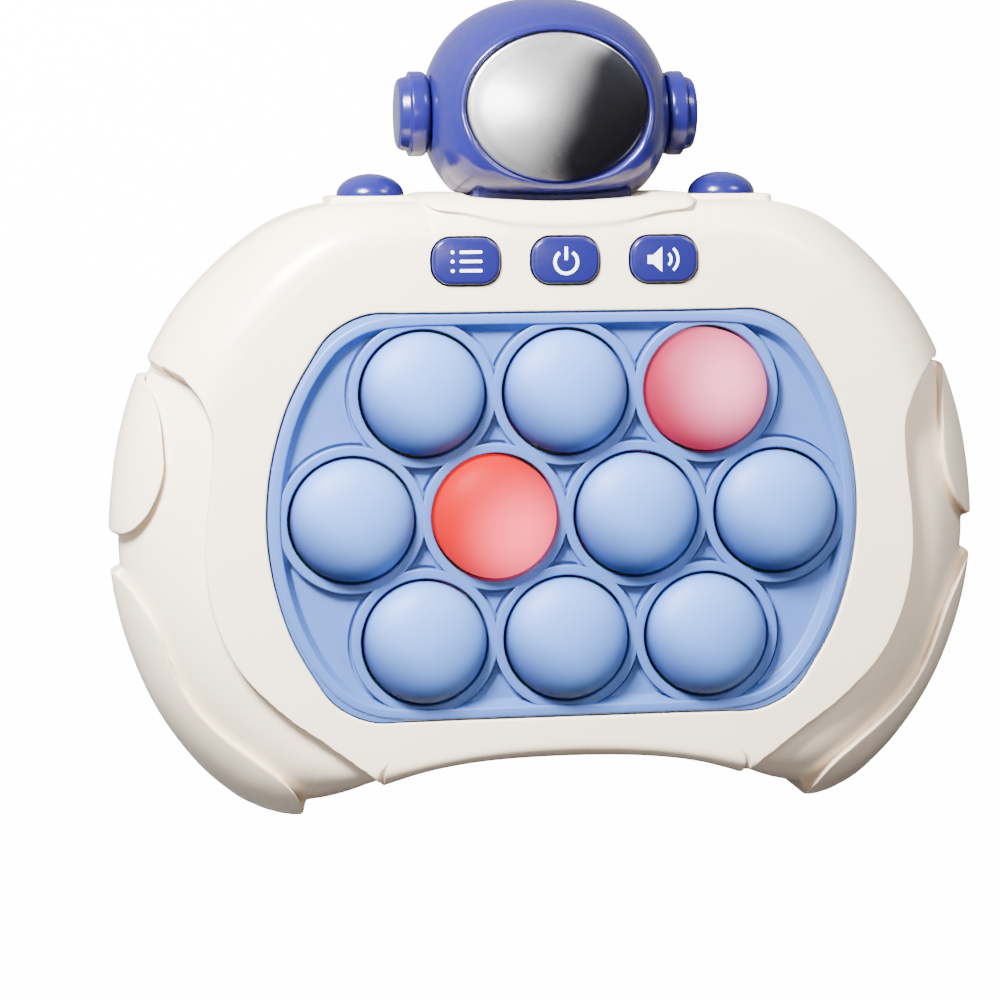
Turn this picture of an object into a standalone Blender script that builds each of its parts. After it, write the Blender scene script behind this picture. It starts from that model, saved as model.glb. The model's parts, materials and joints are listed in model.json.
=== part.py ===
"""Electronic bubble pop game, lying on its flat back.

Metres. +Z points out of the front face, +Y towards the helmet and +X to the viewer's right.
Every size below is measured from the centre of the bubble panel, which the empty "panel_centre"
carries. That empty puts the middle of the whole object's footprint on the Z axis.
"""

import math

import bmesh
import bpy
import numpy as np
from mathutils import Matrix, Vector

# Body outline and heights
FRAME_SIDE_WIDTH = 0.0275
FRAME_TOP_WIDTH = 0.0204
PARTING_Z = 0.0180
FACE_Z = 0.0400
WALL = 0.0022
GAP = 0.0003
OVERRUN = 0.0010
EDGE_WIDTH_SIDE = 0.0120
EDGE_WIDTH_TOP = 0.0065
EDGE_WIDTH_FOOT = 0.0036
EDGE_HEIGHT_SIDE = 0.0200
EDGE_HEIGHT_MIDDLE = 0.0085
BACK_EDGE_HEIGHT_SIDE = 0.0140
BACK_EDGE_HEIGHT_MIDDLE = 0.0070
BAND_EDGE_WIDTH = 0.0170
BAND_SINK = 0.0025
BAND_INSET = 0.0008
BACK_BAND_SINK = 0.0008
FIN_RAISE = 0.0014
COLLAR_RAISE = 0.0016
COLLAR_FACE_RAISE = 0.0004
BACK_COLLAR_SINK = 0.0004
PEDESTAL_HALF_WIDTH = 0.0083
PEDESTAL_HALF_DEPTH = 0.0085
PEDESTAL_RAISE = 0.0011
PEDESTAL_ROUNDING = 0.0020

# Helmet
HELMET_HALF_WIDTH = 0.0240
HELMET_HALF_HEIGHT = 0.0189
HELMET_CHIN_RISE = 0.0003
HELMET_FRONT_DEPTH = 0.0170
HELMET_BACK_DEPTH = 0.0155
HELMET_EDGE_WIDTH = 0.0110
HELMET_CHIN_EDGE_WIDTH = 0.0040
HELMET_WALL = 0.0020
VISOR_SIDE_BORDER = 0.0070
VISOR_TOP_BORDER = 0.0051
VISOR_DROP = 0.0019
VISOR_THICKNESS = 0.0016
VISOR_CROWN = 0.0010
VISOR_SINK = 0.0018
VISOR_LEDGE = 0.0030
VISOR_LEDGE_THICKNESS = 0.0018
NECK_HALF_WIDTH = 0.0150
NECK_HALF_DEPTH = 0.0090
NECK_FLANGE_WIDTH = 0.0025
NECK_FLANGE_THICKNESS = 0.0020
EAR_DROP = 0.0029
EAR_SEAT_DEPTH = 0.0017
EAR_RADIUS = 0.0080
EAR_RIM_REACH = 0.0025
EAR_CAP_RADIUS = 0.0062
EAR_CAP_REACH = 0.0044
EAR_ROUNDING = 0.0014
HELMET_SCREW_REACH = 0.0004
HELMET_POST_RADIUS = 0.0026

# Bubble panel
PITCH = 0.0266
PANEL_SIDE_MARGIN = 0.00415
PANEL_TOP_MARGIN = 0.0032
PANEL_FLOOR_SINK = 0.0020
PANEL_THICKNESS = 0.0020
PANEL_RIM_WIDTH = 0.0020
PANEL_FLANGE_WIDTH = 0.0020
RING_WIDTH = 0.0022
RING_SINK = 0.0004
PANEL_POST_RADIUS = 0.0020

# Bubbles
BUBBLE_RADIUS = 0.01135
BUBBLE_CLEARANCE = 0.00055
BUBBLE_HEIGHT = 0.0055
BUBBLE_WALL = 0.0015
BUBBLE_FLANGE_WIDTH = 0.0016
BUBBLE_FLANGE_THICKNESS = 0.0018
CONE_WALL = 0.0009
CONE_SEAT_RADIUS = 0.0110
CONE_FOOT_RADIUS = 0.0118

# Circuit board and what it carries
BOARD_TOP_Z = 0.0260
BOARD_THICKNESS = 0.0016
BOARD_SIDE_MARGIN = 0.0016
BOARD_TOP_MARGIN = 0.0026
BOARD_TAB_HALF_WIDTH = 0.0410
BOARD_SCREW_INSET = 0.0040
LED_SIDE = 0.0035
LED_HEIGHT = 0.0015
CHIP_SIDE = 0.0090
CHIP_HEIGHT = 0.0018
CHIP_X = 0.0330
CHIP_Y = -0.0160
SWITCH_SIDE = 0.0060
SWITCH_HEIGHT = 0.0035
SWITCH_PLUNGER_RADIUS = 0.0016
SWITCH_PLUNGER_HEIGHT = 0.0008

# Small screws
SCREW_RADIUS = 0.0011
SCREW_HEAD_RADIUS = 0.0022
SCREW_HEAD_HEIGHT = 0.0014
SCREW_LENGTH = 0.0070
SCREW_POST_RADIUS = 0.0026

# Screws that close the body
BODY_SCREW_RADIUS = 0.0014
BODY_SCREW_HEAD_RADIUS = 0.0028
BODY_SCREW_HEAD_HEIGHT = 0.0018
BODY_SCREW_RECESS = 0.0080
BODY_SCREW_LENGTH = 0.0180
BODY_POST_RADIUS = 0.0046

# Front buttons
BUTTON_PITCH = 0.01845
BUTTON_HALF_WIDTH = 0.0063
BUTTON_HALF_HEIGHT = 0.0043
BUTTON_CORNER = 0.0035
BUTTON_CLEARANCE = 0.00035
BUTTON_STAND = 0.0009
BUTTON_BEVEL = 0.0006
BUTTON_FLANGE_WIDTH = 0.0011
BUTTON_FLANGE_THICKNESS = 0.0014
BUTTON_STEM_RADIUS = 0.0018
BUTTON_TRAVEL = 0.0008

# Shoulder buttons
SHOULDER_X = 0.0337
SHOULDER_Z = 0.0200
SHOULDER_RADIUS = 0.0064
SHOULDER_DOME_HEIGHT = 0.0041
SHOULDER_FLANGE_WIDTH = 0.0008
SHOULDER_FLANGE_DROP = 0.0012
SHOULDER_FLANGE_THICKNESS = 0.0014
SHOULDER_STEM_RADIUS = 0.0020
SHOULDER_TRAVEL = 0.0015

# Battery bay
CELL_RADIUS = 0.00525
CELL_LENGTH = 0.0445
CELL_PITCH = 0.0112
CELL_NUB_RADIUS = 0.0019
CELL_NUB_LENGTH = 0.0010
BAY_CENTRE_Y = -0.0140
BAY_END_ROOM = 0.0042
BAY_WALL = 0.0015
DOOR_MARGIN = 0.0032
DOOR_END = 0.0086
DOOR_THICKNESS = 0.0018
DOOR_CORNER = 0.0030
DOOR_SCREW_INSET = 0.0034
DOOR_SCREW_RADIUS = 0.0013
DOOR_SCREW_HEAD_RADIUS = 0.0024
DOOR_SCREW_LENGTH = 0.0070
SPRING_RADIUS = 0.0026
SPRING_TIP_RADIUS = 0.0018
SPRING_WIRE_RADIUS = 0.0003
SPRING_TURNS = 3
CONTACT_THICKNESS = 0.0005
CONTACT_HALF_WIDTH = 0.0042

# Speaker
SPEAKER_Y = 0.0270
SPEAKER_RADIUS = 0.0140
SPEAKER_RIM_HEIGHT = 0.0022
SPEAKER_CONE_HEIGHT = 0.0052
SPEAKER_MAGNET_RADIUS = 0.0080
SPEAKER_MAGNET_HEIGHT = 0.0030
SPEAKER_RIB = 0.0014
GRILLE_SLOTS = 5
GRILLE_SLOT_HALF_LENGTH = 0.0085
GRILLE_SLOT_WIDTH = 0.0016
GRILLE_PITCH = 0.0038

# Leads
LEAD_RADIUS = 0.0006
LEAD_SLACK = 0.0040

# Smoothness of the solids
BODY_LOOP_COUNT = 56
FACE_LOOP_COUNT = 60
FIN_LOOP_COUNT = 20
HELMET_LOOP_COUNT = 32
PANEL_LOOP_COUNT = 44
VISOR_LOOP_COUNT = 28
EDGE_RINGS = 4
INNER_EDGE_RINGS = 2
DOME_STEPS = 4
CORNER_STEPS = 3
SLOT_CORNER_STEPS = 2
BUBBLE_COUNT = 16
CONE_COUNT = 10
ROUND_COUNT = 16
SMALL_ROUND_COUNT = 8
CURVE_STEPS = 24
MOVE_STEPS = 6
MOVE_EASE_SHARE = 0.12
LEAD_POINTS = 14
SPRING_TURN_POINTS = 6
MERGE_DISTANCE = 0.00001

# Where the body's rim turns from its top's rounding to its sides', as shares of the half width
SIDE_START_SHARE = 0.42
SIDE_END_SHARE = 0.85
# Where the chin's rounding ends, as a share of the helmet's half height
CHIN_SHARE = 0.15
# The most of a solid's height that its rounded rim may take
RIM_DEPTH_SHARE = 0.97
# How round a grille slot's ends are, as a share of its width
GRILLE_CORNER_SHARE = 0.49
# The visor's rings, as shares of its outline
VISOR_RING_SHARES = (1.0, 0.85, 0.55, 0.25)

# How high the front buttons sit between the panel's top edge and the body's top edge
BUTTON_ROW_SHARE = 0.475

# Outline shares: x of the half width, y of the body's top
BODY_SHARES = (
    (0.000, 1.000), (0.362, 1.000), (0.507, 0.993), (0.639, 0.929), (0.760, 0.797),
    (0.856, 0.645), (0.929, 0.448), (0.977, 0.224), (1.000, -0.052), (0.990, -0.276),
    (0.948, -0.491), (0.881, -0.690), (0.784, -0.862), (0.688, -0.955), (0.609, -0.979),
    (0.525, -0.952), (0.439, -0.890), (0.338, -0.833), (0.181, -0.807), (0.000, -0.800),
)
FACE_SHARES = (
    (0.000, 1.300), (0.720, 1.300), (1.150, 0.950), (1.110, 0.620), (0.975, 0.520),
    (0.871, 0.471), (0.812, 0.404), (0.790, 0.320), (0.784, 0.220), (0.792, 0.095),
    (0.804, -0.052), (0.803, -0.181), (0.781, -0.336), (0.731, -0.479), (0.645, -0.603),
    (0.549, -0.703), (0.470, -0.797), (0.398, -0.888), (0.300, -1.020), (0.120, -1.110),
    (0.000, -1.120),
)
UPPER_FIN_SHARES = (
    (0.922, 0.435), (0.899, 0.345), (0.892, 0.250), (0.891, 0.165), (0.906, 0.085),
    (0.933, 0.010), (0.968, -0.040), (1.015, -0.062), (1.090, -0.058), (1.100, 0.200),
    (1.040, 0.420), (0.960, 0.470),
)
LOWER_FIN_SHARES = (
    (1.030, -0.190), (0.985, -0.205), (0.945, -0.270), (0.912, -0.350), (0.889, -0.440),
    (0.858, -0.545), (0.812, -0.640), (0.750, -0.722), (0.688, -0.788), (0.625, -0.865),
    (0.590, -0.960), (0.580, -1.040), (0.680, -1.110), (0.860, -1.050), (1.040, -0.750),
    (1.100, -0.400),
)
COLLAR_SHARES = (
    (0.000, 0.922), (0.120, 0.932), (0.220, 0.962), (0.300, 0.985), (0.302, 1.080),
    (0.150, 1.120), (0.000, 1.120),
)
PANEL_SHARES = (
    (0.000, 1.000), (0.350, 1.000), (0.620, 1.000), (0.717, 0.976), (0.787, 0.900),
    (0.863, 0.739), (0.930, 0.545), (0.982, 0.275), (1.000, 0.000),
)
# x of the helmet's half width, y of its half height, from its middle
HELMET_SHARES = (
    (0.000, 1.000), (0.330, 0.950), (0.605, 0.800), (0.800, 0.575), (0.930, 0.280),
    (1.000, -0.080), (0.970, -0.420), (0.875, -0.700), (0.740, -0.925), (0.400, -0.980),
    (0.000, -1.000),
)
# Screw places, x of the half width and y of the body's top
BODY_SCREW_SHARES = ((0.590, 0.740), (0.600, -0.700))

# Sizes that follow from the ones above
ROW_SPACING = PITCH * math.sqrt(3) / 2
PANEL_HALF_WIDTH = 3 * PITCH / 2 + BUBBLE_RADIUS + PANEL_SIDE_MARGIN
PANEL_HALF_HEIGHT = ROW_SPACING + BUBBLE_RADIUS + PANEL_TOP_MARGIN
HALF_WIDTH = PANEL_HALF_WIDTH + FRAME_SIDE_WIDTH
BODY_TOP = PANEL_HALF_HEIGHT + FRAME_TOP_WIDTH
HELMET_CENTRE_Y = BODY_TOP + HELMET_CHIN_RISE + HELMET_HALF_HEIGHT
VISOR_HALF_WIDTH = HELMET_HALF_WIDTH - VISOR_SIDE_BORDER
VISOR_HALF_HEIGHT = HELMET_HALF_HEIGHT - VISOR_TOP_BORDER
VISOR_CENTRE_Y = HELMET_CENTRE_Y - VISOR_DROP
EAR_CENTRE_Y = HELMET_CENTRE_Y - EAR_DROP
EAR_SEAT_X = HELMET_HALF_WIDTH - EAR_SEAT_DEPTH
EAR_RIM_X = HELMET_HALF_WIDTH + EAR_RIM_REACH
EAR_CAP_X = HELMET_HALF_WIDTH + EAR_CAP_REACH
HELMET_SCREW_X = VISOR_HALF_WIDTH + HELMET_SCREW_REACH
FRONT_PARTING_Z = PARTING_Z + GAP / 2
BACK_PARTING_Z = PARTING_Z - GAP / 2
CAVITY_INSET = WALL + BAND_INSET
BAND_FACE_Z = FACE_Z - BAND_SINK
FACE_UNDERSIDE_Z = FACE_Z - WALL
BAND_UNDERSIDE_Z = BAND_FACE_Z - WALL
PANEL_FLOOR_Z = FACE_Z - PANEL_FLOOR_SINK
PANEL_UNDERSIDE_Z = PANEL_FLOOR_Z - PANEL_THICKNESS
BUTTON_Y = PANEL_HALF_HEIGHT + (BODY_TOP - PANEL_HALF_HEIGHT) * BUTTON_ROW_SHARE
BOARD_HALF_WIDTH = PANEL_HALF_WIDTH + BOARD_SIDE_MARGIN
BOARD_HALF_HEIGHT = PANEL_HALF_HEIGHT - BOARD_TOP_MARGIN
BOARD_BOTTOM_Z = BOARD_TOP_Z - BOARD_THICKNESS
BUBBLE_FLANGE_TOP_Z = PANEL_UNDERSIDE_Z - GAP
BUBBLE_FOOT_Z = BUBBLE_FLANGE_TOP_Z - BUBBLE_FLANGE_THICKNESS
HELMET_FACE_Z = PARTING_Z + HELMET_FRONT_DEPTH
SHOULDER_FLANGE_TOP = BODY_TOP - CAVITY_INSET - SHOULDER_FLANGE_DROP
BOARD_TAB_TOP = SHOULDER_FLANGE_TOP - SHOULDER_FLANGE_THICKNESS - SHOULDER_TRAVEL - GAP
SHOULDER_STEM_END = BOARD_TAB_TOP + GAP
SHOULDER_SWITCH_Y = SHOULDER_STEM_END - SHOULDER_TRAVEL - GAP - SWITCH_PLUNGER_HEIGHT
VISOR_SEAT_Z = HELMET_FACE_Z - VISOR_SINK - VISOR_THICKNESS
CELL_Z = DOOR_THICKNESS + GAP + CELL_RADIUS
BAY_ROOF_Z = CELL_Z + CELL_RADIUS + GAP
BAY_HALF_LENGTH = CELL_LENGTH / 2 + BAY_END_ROOM
BAY_HALF_HEIGHT = CELL_PITCH + CELL_RADIUS + GAP
DOOR_HALF_LENGTH = BAY_HALF_LENGTH + DOOR_END
DOOR_HALF_HEIGHT = BAY_HALF_HEIGHT + DOOR_MARGIN


def colour_material(name, colour, roughness, metallic):
    """A plain material of one colour."""
    material = bpy.data.materials.new(name)
    material.use_nodes = True
    shader = material.node_tree.nodes["Principled BSDF"]
    shader.inputs["Base Color"].default_value = (*colour, 1)
    shader.inputs["Roughness"].default_value = roughness
    shader.inputs["Metallic"].default_value = metallic
    return material


def smooth_curve(points, count, closed):
    """Even points along a Catmull-Rom curve through the given ones."""
    points = np.array(points, float)
    if closed:
        points = np.vstack([points[-1:], points, points[:2]])
    else:
        points = np.vstack([2 * points[:1] - points[1:2], points, 2 * points[-1:] - points[-2:-1]])
    fine = []
    for before, start, end, after in zip(points, points[1:], points[2:], points[3:]):
        for step in np.linspace(0, 1, CURVE_STEPS, endpoint=False):
            line = 2 * start + (end - before) * step
            bend = (2 * before - 5 * start + 4 * end - after) * step ** 2
            twist = (3 * start - before - 3 * end + after) * step ** 3
            fine.append((line + bend + twist) / 2)
    fine.append(points[-2])
    fine = np.array(fine)
    length = np.concatenate([[0], np.cumsum(np.linalg.norm(np.diff(fine, axis=0), axis=1))])
    wanted = np.linspace(0, length[-1], count + 1 if closed else count)
    if closed:
        wanted = wanted[:-1]
    return np.column_stack([np.interp(wanted, length, axis) for axis in fine.T])


def scaled(shares, width, height):
    return [(x * width, y * height) for x, y in shares]


def mirrored_outline(half, count):
    """A closed outline, the same left and right, from the points of its right half."""
    left = [(-x, y) for x, y in half[-2:0:-1]]
    loop = smooth_curve(list(half) + left, count, True)
    return loop[::-1]


def panel_outline(count):
    quarter = scaled(PANEL_SHARES, PANEL_HALF_WIDTH, PANEL_HALF_HEIGHT)
    lower = [(x, -y) for x, y in quarter[-2::-1]]
    return mirrored_outline(quarter + lower, count)


def rounded_rectangle(half_width, half_height, corner, steps=CORNER_STEPS):
    """The outline of a rectangle with round corners, anticlockwise."""
    points = []
    for turn, (side_x, side_y) in enumerate(((1, 1), (-1, 1), (-1, -1), (1, -1))):
        for step in range(steps + 1):
            angle = math.radians(90) * (turn + step / steps)
            points.append((side_x * (half_width - corner) + corner * math.cos(angle),
                           side_y * (half_height - corner) + corner * math.sin(angle)))
    return np.array(points)


def ring_outline(radius, count, centre=(0, 0)):
    angles = np.linspace(0, 2 * math.pi, count, endpoint=False)
    return np.column_stack([centre[0] + radius * np.cos(angles), centre[1] + radius * np.sin(angles)])


def moved_in(loop, distance):
    """The anticlockwise loop moved inwards in small steps, with its corners kept round."""
    loop = np.array(loop, float)
    distance = np.broadcast_to(distance, len(loop))[:, None]
    for _ in range(MOVE_STEPS):
        along = np.roll(loop, -1, axis=0) - np.roll(loop, 1, axis=0)
        along = along / np.linalg.norm(along, axis=1)[:, None]
        inward = np.column_stack([-along[:, 1], along[:, 0]])
        loop = loop + inward * distance / MOVE_STEPS
        middle = (np.roll(loop, -1, axis=0) + np.roll(loop, 1, axis=0)) / 2
        loop = loop + np.where(distance > 0, MOVE_EASE_SHARE, 0) * (middle - loop)
    return loop


def new_object(name, mesh_builder):
    """An object of the scene whose mesh is what the bmesh holds, with its faces turned outwards."""
    bmesh.ops.recalc_face_normals(mesh_builder, faces=mesh_builder.faces[:])
    mesh = bpy.data.meshes.new(name)
    mesh_builder.to_mesh(mesh)
    mesh_builder.free()
    piece = bpy.data.objects.new(name, mesh)
    bpy.context.scene.collection.objects.link(piece)
    return piece


def loft(name, rings):
    """A closed solid through rings of as many points each, with flat ends."""
    build = bmesh.new()
    rows = [[build.verts.new(point) for point in ring] for ring in rings]
    for low, high in zip(rows, rows[1:]):
        for here in range(len(low)):
            after = (here + 1) % len(low)
            build.faces.new((low[here], low[after], high[after], high[here]))
    build.faces.new(rows[0][::-1])
    build.faces.new(rows[-1])
    return new_object(name, build)


def at_height(loop, height):
    return np.column_stack([loop, np.broadcast_to(height, len(loop))])


def prism(name, outline, low, high):
    """The outline extruded from one height to another."""
    build = bmesh.new()
    face = build.faces.new([build.verts.new((x, y, low)) for x, y in outline])
    grown = bmesh.ops.extrude_face_region(build, geom=[face])["geom"]
    top = [part for part in grown if isinstance(part, bmesh.types.BMVert)]
    bmesh.ops.translate(build, verts=top, vec=(0, 0, high - low))
    return new_object(name, build)


def block(name, low, high):
    """A box between two opposite corners."""
    outline = [(low[0], low[1]), (high[0], low[1]), (high[0], high[1]), (low[0], high[1])]
    return prism(name, outline, low[2], high[2])


def settled(piece):
    """The piece with its modifiers made part of its mesh."""
    bpy.context.view_layer.update()
    ready = piece.evaluated_get(bpy.context.evaluated_depsgraph_get())
    mesh = bpy.data.meshes.new_from_object(ready)
    piece.modifiers.clear()
    piece.data = mesh
    return piece


def turned(name, profile, count=ROUND_COUNT, closed=False):
    """A piece turned about Z from (radius, height) points that run from its top to its foot."""
    build = bmesh.new()
    points = [build.verts.new((radius, 0, height)) for radius, height in profile]
    for start, end in zip(points, points[1:]):
        build.edges.new((start, end))
    if closed:
        build.edges.new((points[-1], points[0]))
    piece = new_object(name, build)
    screw = piece.modifiers.new("turn", "SCREW")
    screw.steps = count
    screw.render_steps = count
    screw.use_merge_vertices = True
    screw.merge_threshold = MERGE_DISTANCE
    return settled(piece)


def rod(name, radius, low, high, count=SMALL_ROUND_COUNT, centre=(0, 0)):
    return prism(name, ring_outline(radius, count, centre), low, high)


def is_closed(mesh):
    """Whether each edge of the mesh has exactly two faces."""
    build = bmesh.new()
    build.from_mesh(mesh)
    whole = len(build.edges) > 0 and all(edge.is_manifold for edge in build.edges)
    build.free()
    return whole


def combined(piece, tools, operation):
    """The piece after each tool has been joined to it, cut from it or crossed with it."""
    for tool in tools:
        before = piece.data
        for solver in ("EXACT", "MANIFOLD"):
            piece.data = before
            step = piece.modifiers.new("boolean", "BOOLEAN")
            step.operation = operation
            step.solver = solver
            step.object = tool
            settled(piece)
            if is_closed(piece.data):
                break
        bpy.data.objects.remove(tool)
    return piece


def joined(piece, *tools):
    return combined(piece, tools, "UNION")


def cut(piece, *tools):
    return combined(piece, tools, "DIFFERENCE")


def crossed(piece, *tools):
    return combined(piece, tools, "INTERSECT")


def shifted(piece, move=(0, 0, 0), turn=None):
    """The piece with its mesh turned and then moved."""
    matrix = Matrix.Translation(Vector(move))
    if turn:
        matrix = matrix @ Matrix.Rotation(math.radians(turn[0]), 4, turn[1])
    piece.data.transform(matrix)
    return piece


def bevelled(piece, width):
    """Sharp edges cut off over the given width."""
    bevel = piece.modifiers.new("bevel", "BEVEL")
    bevel.width = width
    bevel.segments = 1
    bevel.limit_method = "ANGLE"
    bevel.angle_limit = math.radians(60)
    return settled(piece)


def finished(piece, name, material, origin=(0, 0, 0)):
    """The piece under its node's name, with its material, its origin and its parent."""
    piece.name = name
    piece.data.name = name
    piece.data.transform(Matrix.Translation(-Vector(origin)))
    piece.data.materials.clear()
    piece.data.materials.append(material)
    piece.data.shade_smooth()
    piece.data.set_sharp_from_angle(angle=math.radians(30))
    piece.parent = panel_centre
    piece.location = origin
    return piece


def eased(low, high, value):
    """0 at low, 1 at high and a smooth rise between."""
    share = np.clip((value - low) / (high - low), 0, 1)
    return share * share * (3 - 2 * share)


def side_share(loop):
    """0 at the middle of the body's top and foot, 1 at its sides."""
    return eased(SIDE_START_SHARE * HALF_WIDTH, SIDE_END_SHARE * HALF_WIDTH, np.abs(loop[:, 0]))


def pillow(name, loop, foot_z, face_z, edge_width, edge_height, steps=EDGE_RINGS):
    """A solid on the loop whose rim rounds over to a flat face, above or below its foot."""
    way = math.copysign(1, face_z - foot_z)
    height = np.minimum(edge_height, abs(face_z - foot_z) * RIM_DEPTH_SHARE)
    rings = [at_height(loop, foot_z)]
    reached = 0
    for step in range(steps + 1):
        angle = math.radians(90) * step / steps
        wanted = edge_width * (1 - math.cos(angle))
        loop = moved_in(loop, wanted - reached)
        reached = wanted
        rings.append(at_height(loop, face_z - way * height * (1 - math.sin(angle))))
    return loft(name, rings)


def body_pillow(name, outset, foot_z, face_z, side_width, side_height, middle_height, thinner=0):
    """A pillow on the body's outline, rounded more at the sides than at the top and foot."""
    outline = mirrored_outline(scaled(BODY_SHARES, HALF_WIDTH, BODY_TOP), BODY_LOOP_COUNT)
    loop = moved_in(outline, -outset)
    share = side_share(loop)
    upper = eased(-BODY_TOP / 2, BODY_TOP / 2, loop[:, 1])
    middle_width = EDGE_WIDTH_FOOT + (EDGE_WIDTH_TOP - EDGE_WIDTH_FOOT) * upper
    width = middle_width + (side_width - middle_width) * share
    height = middle_height + (side_height - middle_height) * share
    width = np.maximum(width - 2 * thinner, WALL / 2)
    return pillow(name, loop, foot_z, face_z, width, height - thinner)


def fin_prism(shares, side):
    """A column through the whole body on one fin's outline."""
    half = scaled(shares, HALF_WIDTH, BODY_TOP)
    loop = smooth_curve([(side * x, y) for x, y in half], FIN_LOOP_COUNT, True)
    return prism("fin", loop, -2 * OVERRUN, FACE_Z + OVERRUN)


def pedestals():
    """The raised pads under the shoulder buttons."""
    pads = []
    for side in (1, -1):
        outline = rounded_rectangle(PEDESTAL_HALF_WIDTH, PEDESTAL_HALF_DEPTH, PEDESTAL_ROUNDING)
        pad = prism("pad", outline, BODY_TOP - 2 * WALL, BODY_TOP + PEDESTAL_RAISE)
        pads.append(shifted(pad, (side * SHOULDER_X, 0, SHOULDER_Z), (-90, "X")))
    return pads


def half_space(foot_z, way):
    """A block that holds all that lies on one side of the parting plane."""
    reach = 2 * HALF_WIDTH
    far = foot_z + way * reach
    return block("half", (-reach, -reach, min(foot_z, far)), (reach, reach, max(foot_z, far)))


def outer_form(name, foot_z, face_z, band_sink, collar_z, side_height, middle_height):
    """The outside of one body half as a solid: band, raised face, fins, collar and pads."""
    way = math.copysign(1, face_z - foot_z)
    below = foot_z - way * OVERRUN
    form = body_pillow(name, -BAND_INSET, below, face_z - way * band_sink,
                       BAND_EDGE_WIDTH, side_height, middle_height)
    below -= way * OVERRUN
    face = body_pillow("face", 0, below, face_z, EDGE_WIDTH_SIDE, side_height, middle_height)
    outline = mirrored_outline(scaled(FACE_SHARES, HALF_WIDTH, BODY_TOP), FACE_LOOP_COUNT)
    crossed(face, prism("column", outline, below - FACE_Z, FACE_Z + OVERRUN))
    below -= way * OVERRUN
    fins = []
    for shares in (UPPER_FIN_SHARES, LOWER_FIN_SHARES):
        for side in (1, -1):
            fin = body_pillow("fin", FIN_RAISE - BAND_INSET, below,
                              face_z - way * (band_sink - FIN_RAISE / 2),
                              BAND_EDGE_WIDTH, side_height, middle_height)
            fins.append(crossed(fin, fin_prism(shares, side)))
    below -= way * OVERRUN
    collar = body_pillow("collar", COLLAR_RAISE, below, collar_z,
                         EDGE_WIDTH_SIDE, side_height, middle_height + COLLAR_RAISE)
    collar_loop = mirrored_outline(scaled(COLLAR_SHARES, HALF_WIDTH, BODY_TOP), FIN_LOOP_COUNT)
    crossed(collar, prism("column", collar_loop, below - FACE_Z, FACE_Z + 2 * OVERRUN))
    joined(form, face, *fins, collar, *pedestals())
    return crossed(form, half_space(foot_z, way))


def helmet_outline(grow=0.0):
    half = scaled(HELMET_SHARES, HELMET_HALF_WIDTH, HELMET_HALF_HEIGHT)
    loop = mirrored_outline([(x, HELMET_CENTRE_Y + y) for x, y in half], HELMET_LOOP_COUNT)
    return moved_in(loop, -grow)


def helmet_seat():
    """What the shells leave free for the helmet: its outline and its neck."""
    seat = prism("seat", helmet_outline(GAP), -OVERRUN, FACE_Z + 2 * OVERRUN)
    low = (-NECK_HALF_WIDTH - GAP, BODY_TOP - 3 * WALL, PARTING_Z - NECK_HALF_DEPTH - GAP)
    high = (NECK_HALF_WIDTH + GAP, HELMET_CENTRE_Y, PARTING_Z + NECK_HALF_DEPTH + GAP)
    return [seat, block("neck", low, high)]


def shoulder_holes():
    """Holes through both shells for the shoulder buttons."""
    holes = []
    for side in (1, -1):
        hole = rod("hole", SHOULDER_RADIUS + BUTTON_CLEARANCE, BODY_TOP - 3 * WALL,
                   BODY_TOP + 3 * WALL, ROUND_COUNT)
        holes.append(shifted(hole, (side * SHOULDER_X, 0, SHOULDER_Z), (-90, "X")))
    return holes


def body_screw_places():
    right = scaled(BODY_SCREW_SHARES, HALF_WIDTH, BODY_TOP)
    return right + [(-x, y) for x, y in right]


def bubble_places():
    """Bubble centres in half pitches and rows, from the top left: three, four and three."""
    rows = ((1, (-2, 0, 2)), (0, (-3, -1, 1, 3)), (-1, (-2, 0, 2)))
    return [(column * PITCH / 2, row * ROW_SPACING) for row, columns in rows for column in columns]


def panel_post_places():
    """The middles of the gaps between three bubbles, either side of the middle row."""
    return [(x * PITCH, y * ROW_SPACING / 3) for x in (-1, 1) for y in (-1, 1)]


def board_post_places():
    """The places of the board's screws, one near each of its corners."""
    right = BOARD_HALF_WIDTH - BOARD_SCREW_INSET
    upper = BOARD_HALF_HEIGHT - BOARD_SCREW_INSET
    return [(x * right, y * upper) for x in (-1, 1) for y in (-1, 1)]


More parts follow.
